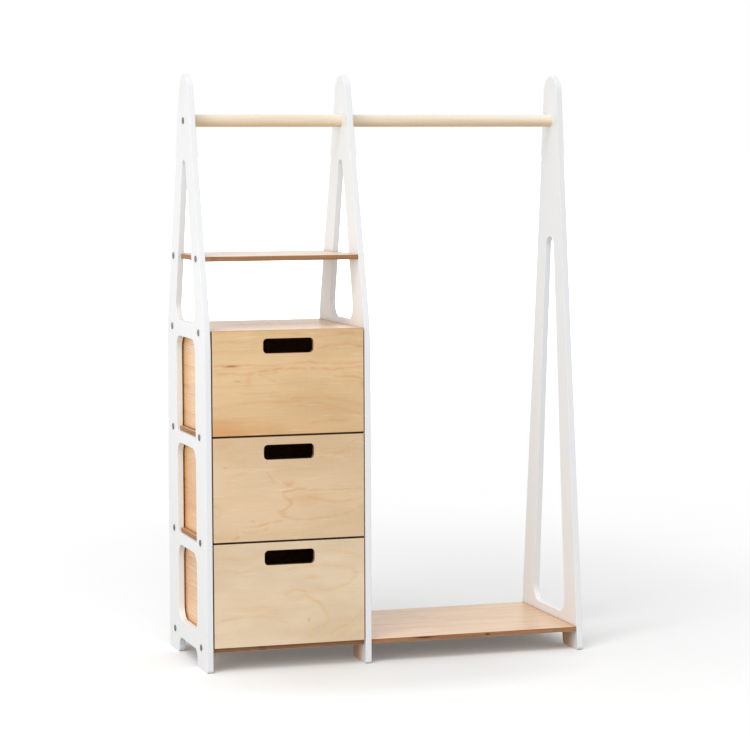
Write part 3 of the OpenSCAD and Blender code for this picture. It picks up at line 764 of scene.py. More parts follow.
def wood_screw(head, inward):
    """A countersunk screw with a crossed recess, its head flush at that place."""
    recess = []
    for long_way, cross_way in ((Y, Z), (Z, Y)):
        half = long_way * RECESS_REACH + cross_way * RECESS_WIDTH / 2
        low, high = head - half - inward * OVER, head + half + inward * RECESS_DEPTH
        recess.append(bar(Vector(map(min, low, high)), Vector(map(max, low, high))))
    return fitting("screw", head, inward, [
        (0, 0), (0, SCREW_HEAD_RADIUS), (SCREW_HEAD_RADIUS - SCREW_RADIUS, shank_radius),
        (SCREW_LENGTH - 2 * SCREW_RADIUS, shank_radius), (SCREW_LENGTH, 0),
    ], recess, SCREW_STEPS)


screws = []
for inward in (X, -X):
    heads = [head for head, way in screw_places if way == inward]
    screws += copies(wood_screw(heads[0], inward), heads, "screw")
print(len(screws[0].data.polygons), "faces in a screw")

# %% Three drawers from one
drawer = {part: smooth(piece) for part, piece in drawer.items()}
drawer["screws"] = joined("drawer_screws", screws)
rises = {
    place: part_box(f"drawer_{place}_front")[0].z - front_low.z
    for place in ("lower", "middle", "upper")
}
twins = {
    f"drawer_{place}_{part}": copy_of(piece, Z * rise, "twin") if rise else piece
    for place, rise in rises.items() for part, piece in drawer.items()
}
for node, piece in twins.items():
    piece.name = piece.data.name = node + "_piece"
    stand_for(piece, node)

# %% [markdown]
# ## Tools for the finishes
#
# A finish is a small network of shader nodes. A Net adds nodes to one tree and links
# them, so that a step reads like the sum it stands for. A Finish is the net of a
# material: it knows where a spot is on its board, and fills the shader at the end.

# %% Nets of nodes
SOCKET_KINDS = {0: "Float", 3: "Vector", 4: "Color"}
FACE_TURN, EDGE_TURN = 0.86, 0.5


def shade(*rgb):
    """A colour as a screen shows it, 0 to 255, as the linear values that the shader wants."""
    shares = [v / 255 for v in rgb]
    return (*(s / 12.92 if s < 0.04 else ((s + 0.055) / 1.055) ** 2.4 for s in shares), 1)


class Net:
    """A node tree, with short ways to add the steps that come again and again."""

    def __init__(self, tree):
        self.tree = tree

    def __getattr__(self, step):
        """Any other name is a math step, such as net.multiply(a, b)."""
        return lambda *values: self.node("Math", values, operation=step.upper()).outputs[0]

    def fill(self, sockets, values):
        """Links sockets or sets their values, in order or by name."""
        for key, value in values.items() if isinstance(values, dict) else enumerate(values):
            if isinstance(value, bpy.types.NodeSocket):
                self.tree.links.new(value, sockets[key])
            else:
                sockets[key].default_value = value

    def node(self, kind, values=(), **settings):
        """Adds a shader node with its settings, and fills its sockets."""
        new = self.tree.nodes.new("ShaderNode" + kind)
        for setting, value in settings.items():
            setattr(new, setting, value)
        self.fill(new.inputs, values)
        return new

    def use(self, group, **values):
        """Adds a node group and returns its outputs."""
        return self.node("Group", values, node_tree=group.tree).outputs

    def vector(self, operation, *values):
        """A vector math step. A length or a dot product is a number."""
        outputs = self.node("VectorMath", values, operation=operation).outputs
        return outputs["Value" if operation in ("DOT_PRODUCT", "LENGTH") else "Vector"]

    def parts(self, vector):
        return self.node("SeparateXYZ", [vector]).outputs

    def turned_back(self, vector, tilt):
        return self.node("VectorRotate", {
            "Vector": vector, "Angle": self.multiply(tilt, -1.0),
        }, rotation_type="Z_AXIS").outputs[0]

    def product(self, first, *others):
        for other in others:
            first = self.multiply(first, other)
        return first

    def blend(self, share, first, second):
        """A number between two others."""
        return self.node("Mix", {0: share, 2: first, 3: second}).outputs[0]

    def mixed(self, share, first, second, how="MIX"):
        """A colour between two others."""
        values = {0: share, 6: first, 7: second}
        return self.node("Mix", values, data_type="RGBA", blend_type=how).outputs[2]

    def grey(self, value):
        return self.node("CombineColor", [value] * 3).outputs[0]

    def tinted(self, colour, tone):
        return self.mixed(1.0, colour, tone, "MULTIPLY")

    def dimmed(self, colour, *step):
        """A colour times a number that changes by a soft step."""
        return self.tinted(colour, self.grey(self.soft_step(*step)))

    def soft_step(self, value, low, high, out_low=0.0, out_high=1.0):
        """A smooth change from out_low to out_high while the value goes from low to high."""
        values = (value, low, high, out_low, out_high)
        return self.node("MapRange", values, interpolation_type="SMOOTHSTEP").outputs[0]

    def grains(self, place, per_metre, seed, detail=2.0, roughness=0.5):
        """A noise between 0 and 1 with its own number of grains per metre along each axis."""
        stretched = self.node("Mapping", {"Vector": place, "Scale": per_metre}).outputs[0]
        return self.node("TexNoise", {
            "Vector": stretched, "W": seed, "Scale": 1.0, "Detail": detail, "Roughness": roughness,
        }, noise_dimensions="4D").outputs[0]

    def seen(self):
        """1 for what the camera sees, straight or by way of a mirror or glass, otherwise 0."""
        rays = self.node("LightPath").outputs
        direct = self.maximum(rays["Is Camera Ray"], rays["Is Glossy Ray"])
        return self.maximum(direct, rays["Is Transmission Ray"])


def new_group(name, outputs, **inputs):
    """An empty node group: its net, start and end. An input's usual value tells its kind."""
    tree = bpy.data.node_groups.new(name, "ShaderNodeTree")
    for label, value in inputs.items():
        kind = SOCKET_KINDS[len(value) if isinstance(value, tuple) else 0]
        socket = tree.interface.new_socket(label, in_out="INPUT", socket_type="NodeSocket" + kind)
        socket.default_value = value
    for label in outputs:
        kind = "Color" if label == "Color" else "Float"
        tree.interface.new_socket(label, in_out="OUTPUT", socket_type="NodeSocket" + kind)
    start, end = tree.nodes.new("NodeGroupInput"), tree.nodes.new("NodeGroupOutput")
    return Net(tree), start.outputs, end.inputs


class Finish(Net):
    """The net of a new material, with its shader and the place and normal of a spot."""

    def __init__(self, name):
        self.material = bpy.data.materials.new(name)
        self.material.use_nodes = True
        super().__init__(self.material.node_tree)
        self.tree.nodes.clear()
        self.shader = self.node("BsdfPrincipled")
        self.node("OutputMaterial", {"Surface": self.shader.outputs[0]})
        spot = self.node("TexCoord").outputs
        self.place, self.normal = spot["Object"], spot["Normal"]

    def on_board(self, node, along, across):
        """Metres along, across and through a board from its middle, and the way through."""
        low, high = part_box(node)
        through = along.cross(across)
        turn = Matrix((along, across, through)).transposed().to_euler()
        mapping = self.node("Mapping", {
            "Vector": self.place, "Location": (low + high) / 2, "Rotation": turn,
        }, vector_type="TEXTURE")
        return mapping.outputs[0], through

    def edges(self, through):
        """How much the surface faces through the board, and 1 on edges but 0 on faces."""
        lean = self.vector("DOT_PRODUCT", self.normal, through)
        return lean, self.soft_step(self.absolute(lean), EDGE_TURN, FACE_TURN, 1.0, 0.0)

    def dress(self, colour, roughness, **more):
        """Fills the shader. Its other sockets are named with _ for each space."""
        named = {name.replace("_", " "): value for name, value in more.items()}
        self.fill(self.shader.inputs, {"Base Color": colour, "Roughness": roughness, **named})

    def relief(self, height, strength, depth):
        """Lets the light follow a height that is worth some millimetres."""
        bump = self.node("Bump", {"Strength": strength, "Distance": depth * MM, "Height": height})
        self.fill(self.shader.inputs, {"Normal": bump.outputs[0]})

    def finish(self, *nodes):
        """Puts the material on the pieces of some nodes, or on the solids that have no piece."""
        for node in nodes:
            thing = pieces.get(node) or frame["nodes"][node]
            if not thing.material_slots:
                thing.data.materials.append(self.material)
            for slot in thing.material_slots:
                slot.material = self.material


print("a mid grey of 188 is", round(shade(188, 188, 188)[0], 3), "in linear light")

# %% [markdown]
# ## Birch veneer
#
# Veneer is peeled from a turning log, so its figure is the contour map of a gently
# hilly surface: long lines that wander and run apart. The veneer group works the
# same way. It builds a height field from a slope across the board and slow noise,
# and draws a line wherever the height passes a whole number. Each line fades slowly
# on one side and stops sharply on the other, as a growth ring does. Fibres, pores
# and broad changes of tone lie over it. Two small groups draw what is added to a
# board by place: the hill is a soft round patch, the line is one bent stroke.

# %% A soft patch and one line of the figure
SHARP_SIDE = 1.7

hill, start, end = new_group(
    "veneer_hill", ["Height"],
    Place=(0, 0, 0), Centre=(0, 0, 0), Size=(0.1, 0.1, 1), Tilt=0, Rise=1,
)
level = hill.vector("MULTIPLY", hill.vector("SUBTRACT", start["Place"], start["Centre"]), (1, 1, 0))
shares = hill.vector("DIVIDE", hill.turned_back(level, start["Tilt"]), start["Size"])
fall = hill.exponent(hill.multiply(hill.vector("DOT_PRODUCT", shares, shares), -1.0))
hill.fill(end, {"Height": hill.multiply(fall, start["Rise"])})

stroke, start, end = new_group(
    "veneer_line", ["Mark"],
    Place=(0, 0, 0), Centre=(0, 0, 0), Tilt=0, Half=0.05, Bend=0, Width=0.002, Strength=1,
)
local = stroke.vector("SUBTRACT", start["Place"], start["Centre"])
along, beside, _ = stroke.parts(stroke.turned_back(local, start["Tilt"]))
off = stroke.subtract(beside, stroke.product(along, along, start["Bend"]))
off = stroke.maximum(off, stroke.multiply(off, -SHARP_SIDE))
off = stroke.divide(off, start["Width"])
core = stroke.exponent(stroke.product(off, off, -1.0))
along_share = stroke.divide(stroke.absolute(along), start["Half"])
fade_out = stroke.soft_step(along_share, 0.78, 1.06, 1.0, 0.0)
stroke.fill(end, {"Mark": stroke.product(core, fade_out, start["Strength"])})
print("patch and line have", len(hill.tree.nodes), "and", len(stroke.tree.nodes), "nodes")

# %% The veneer itself
veneer, start, end = new_group(
    "birch_veneer", ["Color", "Roughness", "Height"], Place=(0, 0, 0), Seed=0, Lines=20, Wander=1.6,
    Base=shade(224, 194, 156), Line=shade(204, 150, 98), Marks=0, Warm=0, Streak=0, Contrast=1,
)


def noise(per_metre, detail, roughness=0.5):
    """A noise of the veneer, as many grains per metre as given."""
    return veneer.grains(start["Place"], per_metre, start["Seed"], detail, roughness)


across = veneer.parts(start["Place"])[1]
slow = veneer.subtract(noise((2.2, 7, 1), 1.5), 0.5)
ripple = veneer.subtract(noise((14, 30, 1), 1.0), 0.5)
slope = veneer.multiply(across, start["Lines"])
ground = veneer.multiply_add(slow, start["Wander"], slope)
ground = veneer.multiply_add(ripple, 0.28, ground)
ring = veneer.power(veneer.fract(ground), 7.0)
fine_ring = veneer.power(veneer.fract(veneer.multiply_add(ground, 3.0, 0.35)), 3.0)
clear = veneer.soft_step(noise((4, 16, 1), 1.0), 0.4, 0.62, 0.3, 1.0)
rings = veneer.multiply_add(fine_ring, 0.16, veneer.multiply(ring, clear))
broken = veneer.soft_step(noise((26, 60, 1), 2.0), 0.3, 0.64, 0.2, 0.85)
marks = veneer.multiply(start["Marks"], broken)
rings = veneer.multiply_add(rings, start["Contrast"], marks)
tone = veneer.soft_step(noise((3.5, 9, 1), 3.0), 0.3, 0.7)
fibre = noise((9, 520, 40), 4.0, 0.6)
pore = veneer.soft_step(noise((90, 1500, 60), 1.0), 0.64, 0.74)
pale = veneer.tinted(start["Base"], (1.1, 1.11, 1.14, 1))
deep = veneer.tinted(start["Base"], (0.93, 0.9, 0.86, 1))
wood = veneer.mixed(tone, deep, pale)
wood = veneer.mixed(veneer.minimum(veneer.multiply(rings, 0.62), 0.9), wood, start["Line"])
wood = veneer.mixed(start["Warm"], wood, shade(212, 150, 84))
shine = veneer.soft_step(noise((13, 150, 1), 3.0, 0.6), 0.56, 0.72)
wood = veneer.mixed(veneer.multiply(shine, 0.3), wood, shade(246, 226, 198))
wood = veneer.dimmed(wood, fibre, 0.25, 0.75, 0.955, 1.035)
wood = veneer.mixed(veneer.multiply(pore, 0.16), wood, shade(140, 92, 56))
veneer.fill(end, {
    "Color": veneer.mixed(start["Streak"], wood, shade(122, 44, 12)),
    "Roughness": veneer.soft_step(fibre, 0.2, 0.8, 0.34, 0.24),
    "Height": veneer.multiply_add(pore, -0.8, fibre),
})
print("the veneer group has", len(veneer.tree.nodes), "nodes")

# %% [markdown]
# ## The edge of the plywood
#
# Along a cut edge, plywood shows its plies as stripes: long grain and end grain take
# turns, the end grain drinks more finish and turns brown, and a thin dark glue line
# runs between them. Here and there an inner ply has a short gap. The edge group
# counts the plies through the thickness, so it needs the board's own thickness.

# %% The plies
plies, start, end = new_group(
    "ply_edge", ["Color", "Roughness", "Height"],
    Place=(0, 0, 0), Seed=0, Thickness=0.012, Plies=9, Voids=0,
)
place, seed = start["Place"], start["Seed"]
through = plies.parts(place)[2]
uneven = plies.subtract(plies.grains(place, (9, 9, 1), seed, 1.0), 0.5)
share = plies.add(plies.divide(through, start["Thickness"]), 0.5)
share = plies.multiply_add(uneven, 0.05, share)
ply = plies.multiply(share, start["Plies"])
inside = plies.fract(ply)
end_grain = plies.multiply(plies.fract(plies.multiply(plies.floor(ply), 0.5)), 2.0)
to_glue = plies.minimum(inside, plies.subtract(1.0, inside))
glue = plies.soft_step(to_glue, 0.03, 0.13, 1.0, 0.0)
speckle = plies.grains(place, (900, 900, 1400), seed)
stripe = plies.grains(place, (40, 40, 2500), seed)
stained = plies.soft_step(plies.grains(place, (7, 7, 160), seed), 0.35, 0.65)
long_ply = plies.mixed(stripe, shade(178, 126, 82), shade(222, 178, 132))
end_ply = plies.mixed(speckle, shade(104, 58, 28), shade(166, 108, 62))
edge = plies.mixed(end_grain, long_ply, end_ply)
edge = plies.mixed(plies.multiply(stained, 0.45), edge, shade(132, 80, 42))
edge = plies.mixed(plies.multiply(glue, 0.6), edge, shade(88, 48, 24))
gap = plies.soft_step(plies.grains(place, (26, 26, 1), seed, 0.0), 0.7, 0.74)
gap = plies.product(gap, end_grain, plies.soft_step(to_glue, 0.12, 0.22))
gap = plies.maximum(gap, start["Voids"])
rough_saw = plies.multiply_add(glue, -0.5, plies.multiply(speckle, end_grain))
plies.fill(end, {
    "Color": plies.mixed(gap, edge, shade(40, 22, 16)),
    "Roughness": plies.soft_step(speckle, 0.3, 0.7, 0.62, 0.74),
    "Height": plies.multiply_add(gap, -2.0, rough_saw),
})
print("the edge group has", len(plies.tree.nodes), "nodes")

# %% [markdown]
# ## From the board to the finish
#
# Each board has its own grain direction. A Mapping node of the texture type turns
# object coordinates into board coordinates: along the grain, across it and through
# the sheet, from the board's middle. The surface normal then tells whether a spot
# lies on a face, where veneer shows, or on an edge, where plies show.

# %% Figure of a front
front_w, front_h = front_high.x - front_low.x, front_high.z - front_low.z


def on_front(right, down):
    """Thousandths of the front, from its upper left corner, as metres from its middle."""
    return ((right / 1000 - 0.5) * front_w, (0.5 - down / 1000) * front_h)


def figure_line(x0, y0, x1, y1, bulge, strength, width):
    """A line from one spot of the front to another, which bulges up by some millimetres."""
    first, last = Vector(on_front(x0, y0)), Vector(on_front(x1, y1))
    run = last - first
    if run.x < 0:
        run = -run
    half = run.length / 2
    middle = (first + last) / 2 + Vector((-run.y, run.x)) / run.length * bulge * MM
    tilt = math.atan2(run.y, run.x)
    return ("line", middle, tilt, half, -bulge * MM / half**2, width * MM, strength)


def spot(kind, right, down, wide, high, strength, tilt=0):
    """A warm patch or a dark streak round a spot of the front, sizes in millimetres."""
    return (kind, on_front(right, down), math.radians(tilt), wide * MM, high * MM, strength)


def figure(lines, spots, width=3.8):
    """The figure of a front. A row without a width of its own takes the common one."""
    rows = [figure_line(*row[:6], *(row[6:] or (width,))) for row in lines]
    return rows + [spot(*row) for row in spots]


print("the middle of the front is", on_front(500, 500))

# %% A plywood material for any board
SHAKE = 14 * MM


def plywood(
    node, along, across, seed, base, line, lines=20, wander=1.6, contrast=1.0, layers=9, marks=(),
    edge_shade=1.0, front_shade=1.0,
):
    """The plywood of one board. The marks are lines, warm patches, streaks and voids.
    The two shade factors darken some sides as painted shade.
    """
    net = Finish(node + "_plywood")
    place, through = net.on_board(node, along, across)
    shake = net.node("TexNoise", {"Vector": place, "Scale": 26.0, "Detail": 3.0}).outputs[1]
    centred = net.vector("SUBTRACT", shake, (0.5, 0.5, 0.5))
    wobbly = net.vector("MULTIPLY_ADD", centred, (SHAKE, SHAKE, 0), place)
    x, _, z = net.parts(place)
    edge_place = net.node("CombineXYZ", (x, z)).outputs[0]
    places = {"line": wobbly, "warm": wobbly, "streak": place, "void": edge_place}
    added = dict.fromkeys(places, 0.0)
    for kind, centre, tilt, *shape in marks:
        common = {"Place": places[kind], "Centre": (*centre, 0), "Tilt": tilt}
        if kind == "line":
            shape = dict(zip(("Half", "Bend", "Width", "Strength"), shape))
            mark = net.use(stroke, **common, **shape)["Mark"]
            added[kind] = net.maximum(mark, added[kind])
        else:
            wide, high, strength = shape
            rise = net.use(hill, **common, Size=(wide, high, 1), Rise=strength)["Height"]
            added[kind] = net.add(rise, added[kind])
    face = net.use(
        veneer, Place=place, Seed=seed, Lines=lines, Wander=wander, Contrast=contrast, Base=base,
        Line=line, Marks=added["line"], Warm=added["warm"], Streak=added["streak"],
    )
    low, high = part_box(node)
    side = net.use(
        plies, Place=place, Seed=seed, Plies=layers, Voids=added["void"],
        Thickness=abs((high - low).dot(through)),
    )
    on_edge = net.edges(through)[1]
    _, facing, upward = net.parts(net.normal)
    colour = net.mixed(on_edge, face["Color"], side["Color"])
    # Painted shade: edges that face up or down, and faces that face the front, darken by these
    # factors.
    if edge_shade < 1:
        colour = net.dimmed(colour, net.absolute(upward), EDGE_TURN, FACE_TURN, 1.0, edge_shade)
    if front_shade < 1:
        colour = net.dimmed(colour, facing, -FACE_TURN, -EDGE_TURN, front_shade, 1.0)
    net.dress(colour, net.blend(on_edge, face["Roughness"], side["Roughness"]))
    net.relief(net.blend(on_edge, face["Height"], side["Height"]), 0.35, 0.15)
    net.finish(node)


print("faces and edges part at", FACE_TURN, "and", EDGE_TURN)

# %% [markdown]
# ## Finishing the boards
#
# The three fronts come from three sheets, so they differ in tone and figure. The
# upper one is straight grained and more orange, the middle one has a pointed figure
# that opens to the right, and the lower one is pale with a large loop. The lines and
# patches of each figure were traced.

# %% Fronts
upper_figure = figure([
    (0, 12, 340, 0, -1, 0.6), (350, 5, 640, 35, -2, 0.5), (670, 70, 840, 52, -1, 0.7),
    (800, 57, 1000, 58, 4, 0.9), (0, 112, 310, 120, 3, 0.6), (690, 170, 870, 155, 0, 0.8),
    (840, 158, 1000, 180, 5, 1), (0, 325, 220, 325, -1, 0.7), (190, 322, 500, 335, -3, 0.8),
    (480, 330, 720, 330, 3, 0.9), (700, 332, 1000, 325, -2, 0.7), (0, 395, 300, 395, -3, 0.7),
    (280, 398, 640, 372, 2, 0.9), (620, 370, 1000, 385, -3, 1), (300, 420, 420, 500, -1, 0.9),
    (300, 430, 440, 405, 2, 0.6), (790, 455, 1000, 500, 3, 0.9), (840, 430, 1000, 440, 2, 0.4),
    (0, 600, 450, 600, 1, 0.35), (350, 632, 620, 637, 0, 0.35), (0, 745, 250, 695, 3, 0.6),
    (220, 698, 620, 690, 2, 0.5), (600, 700, 1000, 860, 10, 0.7), (500, 655, 720, 660, 1, 0.6),
    (700, 660, 1000, 760, 6, 0.6), (550, 730, 900, 800, 4, 0.5), (0, 870, 400, 890, 2, 0.5),
    (640, 900, 920, 880, 1, 0.6), (617, 20, 617, 980, 0, 0.22, 3),
], [
    ("warm", 240, 470, 10, 13, 0.3), ("warm", 990, 550, 7, 9, 0.5), ("warm", 50, 980, 95, 34, 0.75),
    ("warm", 450, 980, 100, 18, 0.35), ("warm", 128, 331, 17, 2.6, 0.9, 2),
    ("streak", 128, 331, 15, 1.9, 0.6, 2),
    ("warm", 165, 478, 8, 2.2, 0.6, -4), ("streak", 165, 478, 7, 1.2, 0.2, -4),
])
middle_figure = figure([
    (690, 200, 810, 190, 0, 0.8), (780, 195, 880, 165, -1, 0.9), (700, 135, 780, 125, 0, 0.5),
    (870, 90, 900, 200, 2, 0.4), (900, 90, 1000, 20, 1, 0.5), (100, 40, 140, 110, 2, 0.5),
    (100, 375, 250, 330, 2, 0.4), (70, 420, 200, 460, 0, 0.3), (350, 340, 395, 460, 2, 1.1, 3),
    (375, 380, 415, 465, 2, 0.9, 2.6), (480, 480, 535, 430, 0, 0.9), (450, 440, 500, 460, 0, 0.6),
    (440, 550, 630, 525, 3, 1), (600, 530, 1000, 535, -1, 1, 3.4), (450, 560, 530, 640, -2, 0.9),
    (420, 735, 530, 640, -2, 0.9), (420, 740, 580, 810, -4, 1), (560, 807, 800, 780, -3, 0.8),
    (780, 785, 1000, 715, -3, 0.9), (620, 580, 810, 650, -4, 0.7), (780, 652, 1000, 630, -1, 0.7),
    (140, 875, 300, 860, 1, 0.7), (280, 865, 460, 815, 2, 1), (180, 900, 300, 925, -2, 0.6),
    (280, 930, 360, 870, -3, 0.6), (120, 985, 165, 945, -1, 1), (0, 655, 55, 690, 3, 0.7),
    (10, 760, 55, 690, -3, 0.6), (0, 955, 130, 970, 0, 0.4),
], [
    ("warm", 600, 620, 40, 17, 0.28), ("warm", 460, 740, 10, 6, 0.35),
    ("warm", 70, 70, 20, 12, 0.25),
    ("warm", 500, 460, 14, 9, 0.3), ("streak", 260, 805, 4, 1.3, 0.35),
    ("streak", 80, 285, 6, 2, 0.2),
], width=4.8)
lower_figure = figure([
    (0, 140, 190, 151, 1, .9), (170, 150, 320, 127, -1, .8), (0, 254, 200, 286, 1, .9),
    (195, 288, 330, 246, 1, .8), (320, 247, 450, 272, 1, .5), (440, 275, 590, 257, 1, .8),
    (570, 258, 790, 264, 2, .8), (770, 262, 900, 290, 1, .9), (893, 285, 953, 370, 3, .9),
    (865, 452, 956, 360, -2, 1), (690, 487, 890, 435, -4, .9), (610, 514, 710, 486, 0, .8),
    (460, 530, 520, 468, 3, 1), (500, 468, 615, 505, 2, 1), (455, 528, 570, 563, 0, .9),
    (560, 565, 618, 515, -2, .9), (600, 535, 730, 680, 5, 1), (720, 665, 767, 785, 2, 1),
    (680, 852, 768, 778, -4, .9), (642, 900, 695, 848, 2, .8), (641, 970, 645, 885, 0, .7),
    (0, 757, 160, 713, 3, .9), (140, 713, 370, 730, 1, .9), (350, 728, 500, 805, 2, .9),
    (475, 880, 508, 805, -1, .7), (470, 960, 479, 870, 0, .6), (30, 625, 450, 658, 2, .4, 8),
    (700, 105, 1000, 193, 6, .8), (765, 950, 830, 868, 2, .8), (815, 875, 1000, 710, -4, .9),
    (840, 970, 890, 885, 2, .7), (880, 893, 1000, 765, -2, .8), (905, 965, 950, 925, 1, .7),
    (940, 930, 1000, 898, 0, .6), (220, 423, 450, 402, -1, .4, 8), (0, 40, 60, 55, 0, .5),
], [
    ("warm", 624, 765, 4, 4, .5), ("warm", 250, 650, 70, 12, .12), ("warm", 645, 358, 24, 6, .16),
], width=5.4)
# Painted shade: the top and bottom edges of the middle and lower fronts are darkened, as they sit
# in the dark gaps between the fronts.
FRONT_EDGE_SHADE = 0.35
for place, seed, base, line, spread, marks, tone in (
    ("upper", 3.1, (223, 189, 142), (208, 142, 74), (24, 0.9, 0.35), upper_figure, 1.0),
    ("middle", 8.4, (221, 192, 154), (212, 160, 98), (12, 1.2, 0.25), middle_figure, FRONT_EDGE_SHADE),
    ("lower", 5.7, (227, 204, 172), (224, 184, 122), (12, 1.0, 0.22), lower_figure, FRONT_EDGE_SHADE),
):
    plywood(
        f"drawer_{place}_front", X, Z, seed, shade(*base), shade(*line), *spread,
        marks=marks, edge_shade=tone,
    )
print("fronts finished")

# %% The rest of the drawers
SIDE_TONES = {
    "upper": shade(234, 186, 128), "middle": shade(238, 184, 120), "lower": shade(240, 192, 140),
}
SIDE_LINE = shade(214, 142, 76)
# Painted shade: the inner face of each drawer's back is darkened, as deep inside the tower.
INSIDE_SHADE = 0.3
for i, place in enumerate(rises):
    for part, along, across, layers in (
        ("side_left", Y, Z, 9), ("side_right", Y, Z, 9), ("back", X, Z, 9), ("bottom", X, Y, 5),
    ):
        plywood(
            f"drawer_{place}_{part}", along, across, 11.3 + 2.9 * i + 0.7 * len(part),
            SIDE_TONES[place], SIDE_LINE, 16, layers=layers,
            front_shade=INSIDE_SHADE if part == "back" else 1.0,
        )
print("sides, backs and bottoms finished")

# %% Tower boards, shelves and back panel
# The boards are one plywood, but the lid and the upper shelf get paler tones and the base shelf a
# darker one: partly their own tone, partly painted sheen and shade for the light that their tops
# get.
WARM_TONE, WARM_LINE = shade(224, 190, 154), shade(198, 142, 96)
PALE_TONE, SHELF_TONE, TOP_TONE = shade(229, 211, 190), shade(219, 185, 148), shade(243, 213, 180)
JOINT_LENGTH, GAP_SHADE = 10.0, 0.3
JOINT_MARKS = (("streak", 4.2, 0.9), ("warm", 26, 0.3))


def joint_shadows(node):
    """A dark line of painted shade at each end of a board, where it meets a frame,
    and a warm strip beside it.
    """
    ends = (tower_left, tower_right) if node != "base_shelf" else (bay_left, bay_right)
    middle = sum(span(node, 0)) / 2
    return [
        (kind, (x - middle, 0), 0.0, wide * MM, JOINT_LENGTH, strength)
        for x in ends for kind, wide, strength in JOINT_MARKS
    ]


shelf_middle = sum(span("base_shelf", 0)) / 2
SHELF_VOIDS = [
    ("void", (67 * MM - shelf_middle, 2 * MM), 0.0, 24 * MM, 1.8 * MM, 1.3),
    ("void", (232 * MM - shelf_middle, 0.5 * MM), 0.0, 6 * MM, 2.2 * MM, 1.2),
]
for i, (node, tone) in enumerate((
    ("tower_base", WARM_TONE), ("tower_divider_lower", WARM_TONE),
    ("tower_divider_upper", WARM_TONE), ("tower_top", TOP_TONE), ("upper_shelf", PALE_TONE),
    ("base_shelf", SHELF_TONE),
)):
    marks = joint_shadows(node) + (SHELF_VOIDS if node == "base_shelf" else [])
    # Painted shade: the front edges of the dividers, deep in the gaps between the fronts, are
    # darkened.
    plywood(
        node, X, Y, 20.5 + 1.7 * i, tone, WARM_LINE, 14, 2.0, 0.9,
        marks=marks, front_shade=GAP_SHADE if "divider" in node else 1.0,
    )
plywood("back_panel", Z, X, 33.2, WARM_TONE, WARM_LINE, 14, 2.2, 0.9)
print("boards finished")

# %% [markdown]
# ## White paint
#
# The frames are lacquered white. Paint that a roller lays down is never quite flat:
# it keeps a very fine orange-peel texture, and its gloss changes a little from place
# to place. On the cut edges the grain drinks some of the first coat, so the texture
# is coarser there, and their white is a little darker as painted shade. Under the
# boards, towards the arch, the inner faces of the feet get a painted warm shade, for
# the light that the birch above throws down onto them.

# %% The painted boards
WARM_SHADE_FROM, WARM_SHADE_GONE, WARM_SHADE_BELOW = 125 * MM, 185 * MM, 4 * MM
INNER_SIDES = {"left_frame": (-1,), "middle_frame": (-1, 1), "right_frame": (1,)}

for node, sides in INNER_SIDES.items():
    net = Finish(node + "_white_paint")
    place, through = net.on_board(node, Z, Y)
    lean, on_edge = net.edges(through)
    peel = net.grains(place, (700, 700, 700), 1.5)
    fibres = net.grains(place, (60, 60, 1100), 4.0)
    cloud = net.grains(place, (5, 5, 5), 2.2)
    paint = net.mixed(cloud, shade(241, 241, 240), shade(247, 248, 248))
    # Painted warm shade: the inner faces of the feet, under the boards and towards the arch, are
    # tinted brown.
    inner = [net.maximum(net.multiply(lean, side), 0.0) for side in sides]
    inner = net.maximum(inner[0], inner[-1])
    _, depth, rise = net.parts(net.place)
    warm_shade_reach = net.soft_step(net.absolute(depth), WARM_SHADE_FROM, WARM_SHADE_GONE, 1.0, 0.0)
    below = net.soft_step(rise, base_low, base_low + WARM_SHADE_BELOW, 1.0, 0.0)
    paint = net.mixed(net.product(warm_shade_reach, below, inner), paint, shade(243, 198, 158))
    # Painted shade: the cut edges get a slightly darker, greyer white than the faces, to dim the
    # light they catch.
    cut_edge = net.mixed(fibres, shade(232, 234, 236), shade(240, 242, 244))
    net.dress(
        net.mixed(on_edge, paint, cut_edge), net.soft_step(cloud, 0.3, 0.7, 0.42, 0.5),
        Specular_IOR_Level=0.4,
    )
    net.relief(net.blend(net.multiply(on_edge, 0.5), peel, fibres), 0.25, 0.06)
    net.finish(node)
print("frames painted")

# %% [markdown]
# ## Turned wood and metal
#
# The rail is pale solid wood with its grain along it. The fittings are steel with a
# thin brown-grey finish. Turning leaves fine rings round the axis of each bolt, nut
# and cap, which the attribute made earlier lets the bump follow.

# %% Rail and dowels
UNDERSIDE_SHADE, TOPSIDE_LIGHT = (0.94, 0.82, 0.66, 1), (1.03, 1.08, 1.18, 1)


def solid_wood(name, node, base, line):
    """Straight-grained wood with its grain along the length, painted lighter on top
    and darker underneath as painted light and shade.
    """
    net = Finish(name)
    low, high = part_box(node)
    size = high - low
    place, _ = net.on_board(node, X if size.x > size.y else Y, Z)
    bands = net.grains(place, (1.5, 90, 90), 6.1, 3.0)
    fibre = net.grains(place, (14, 900, 900), 7.3, 3.0)
    fleck = net.soft_step(net.grains(place, (160, 1500, 1500), 2.7, 1.0), 0.66, 0.76)
    wood = net.mixed(net.multiply(net.soft_step(bands, 0.35, 0.75), 0.55), base, line)
    wood = net.dimmed(wood, fibre, 0.25, 0.75, 0.93, 1.05)
    wood = net.mixed(net.multiply(fleck, 0.3), wood, shade(168, 124, 84))
    # Painted light and shade: lighter and cooler where the surface faces up, darker and browner
    # where it faces down.
    upward = net.soft_step(net.parts(net.normal)[2], -1.0, 1.0)
    wood = net.tinted(wood, net.mixed(upward, UNDERSIDE_SHADE, TOPSIDE_LIGHT))
    net.dress(wood, net.soft_step(fibre, 0.2, 0.8, 0.56, 0.44), Specular_IOR_Level=0.35)
    net.relief(net.multiply_add(fleck, -0.6, fibre), 0.3, 0.12)
    net.finish(node)


solid_wood("rail_wood", "hanging_rail", shade(242, 228, 204), shade(224, 198, 160))
for place in rises:
    dowels = f"drawer_{place}_dowels"
    solid_wood(dowels + "_wood", dowels, shade(222, 190, 150), shade(190, 148, 104))
print("rail and dowels finished")

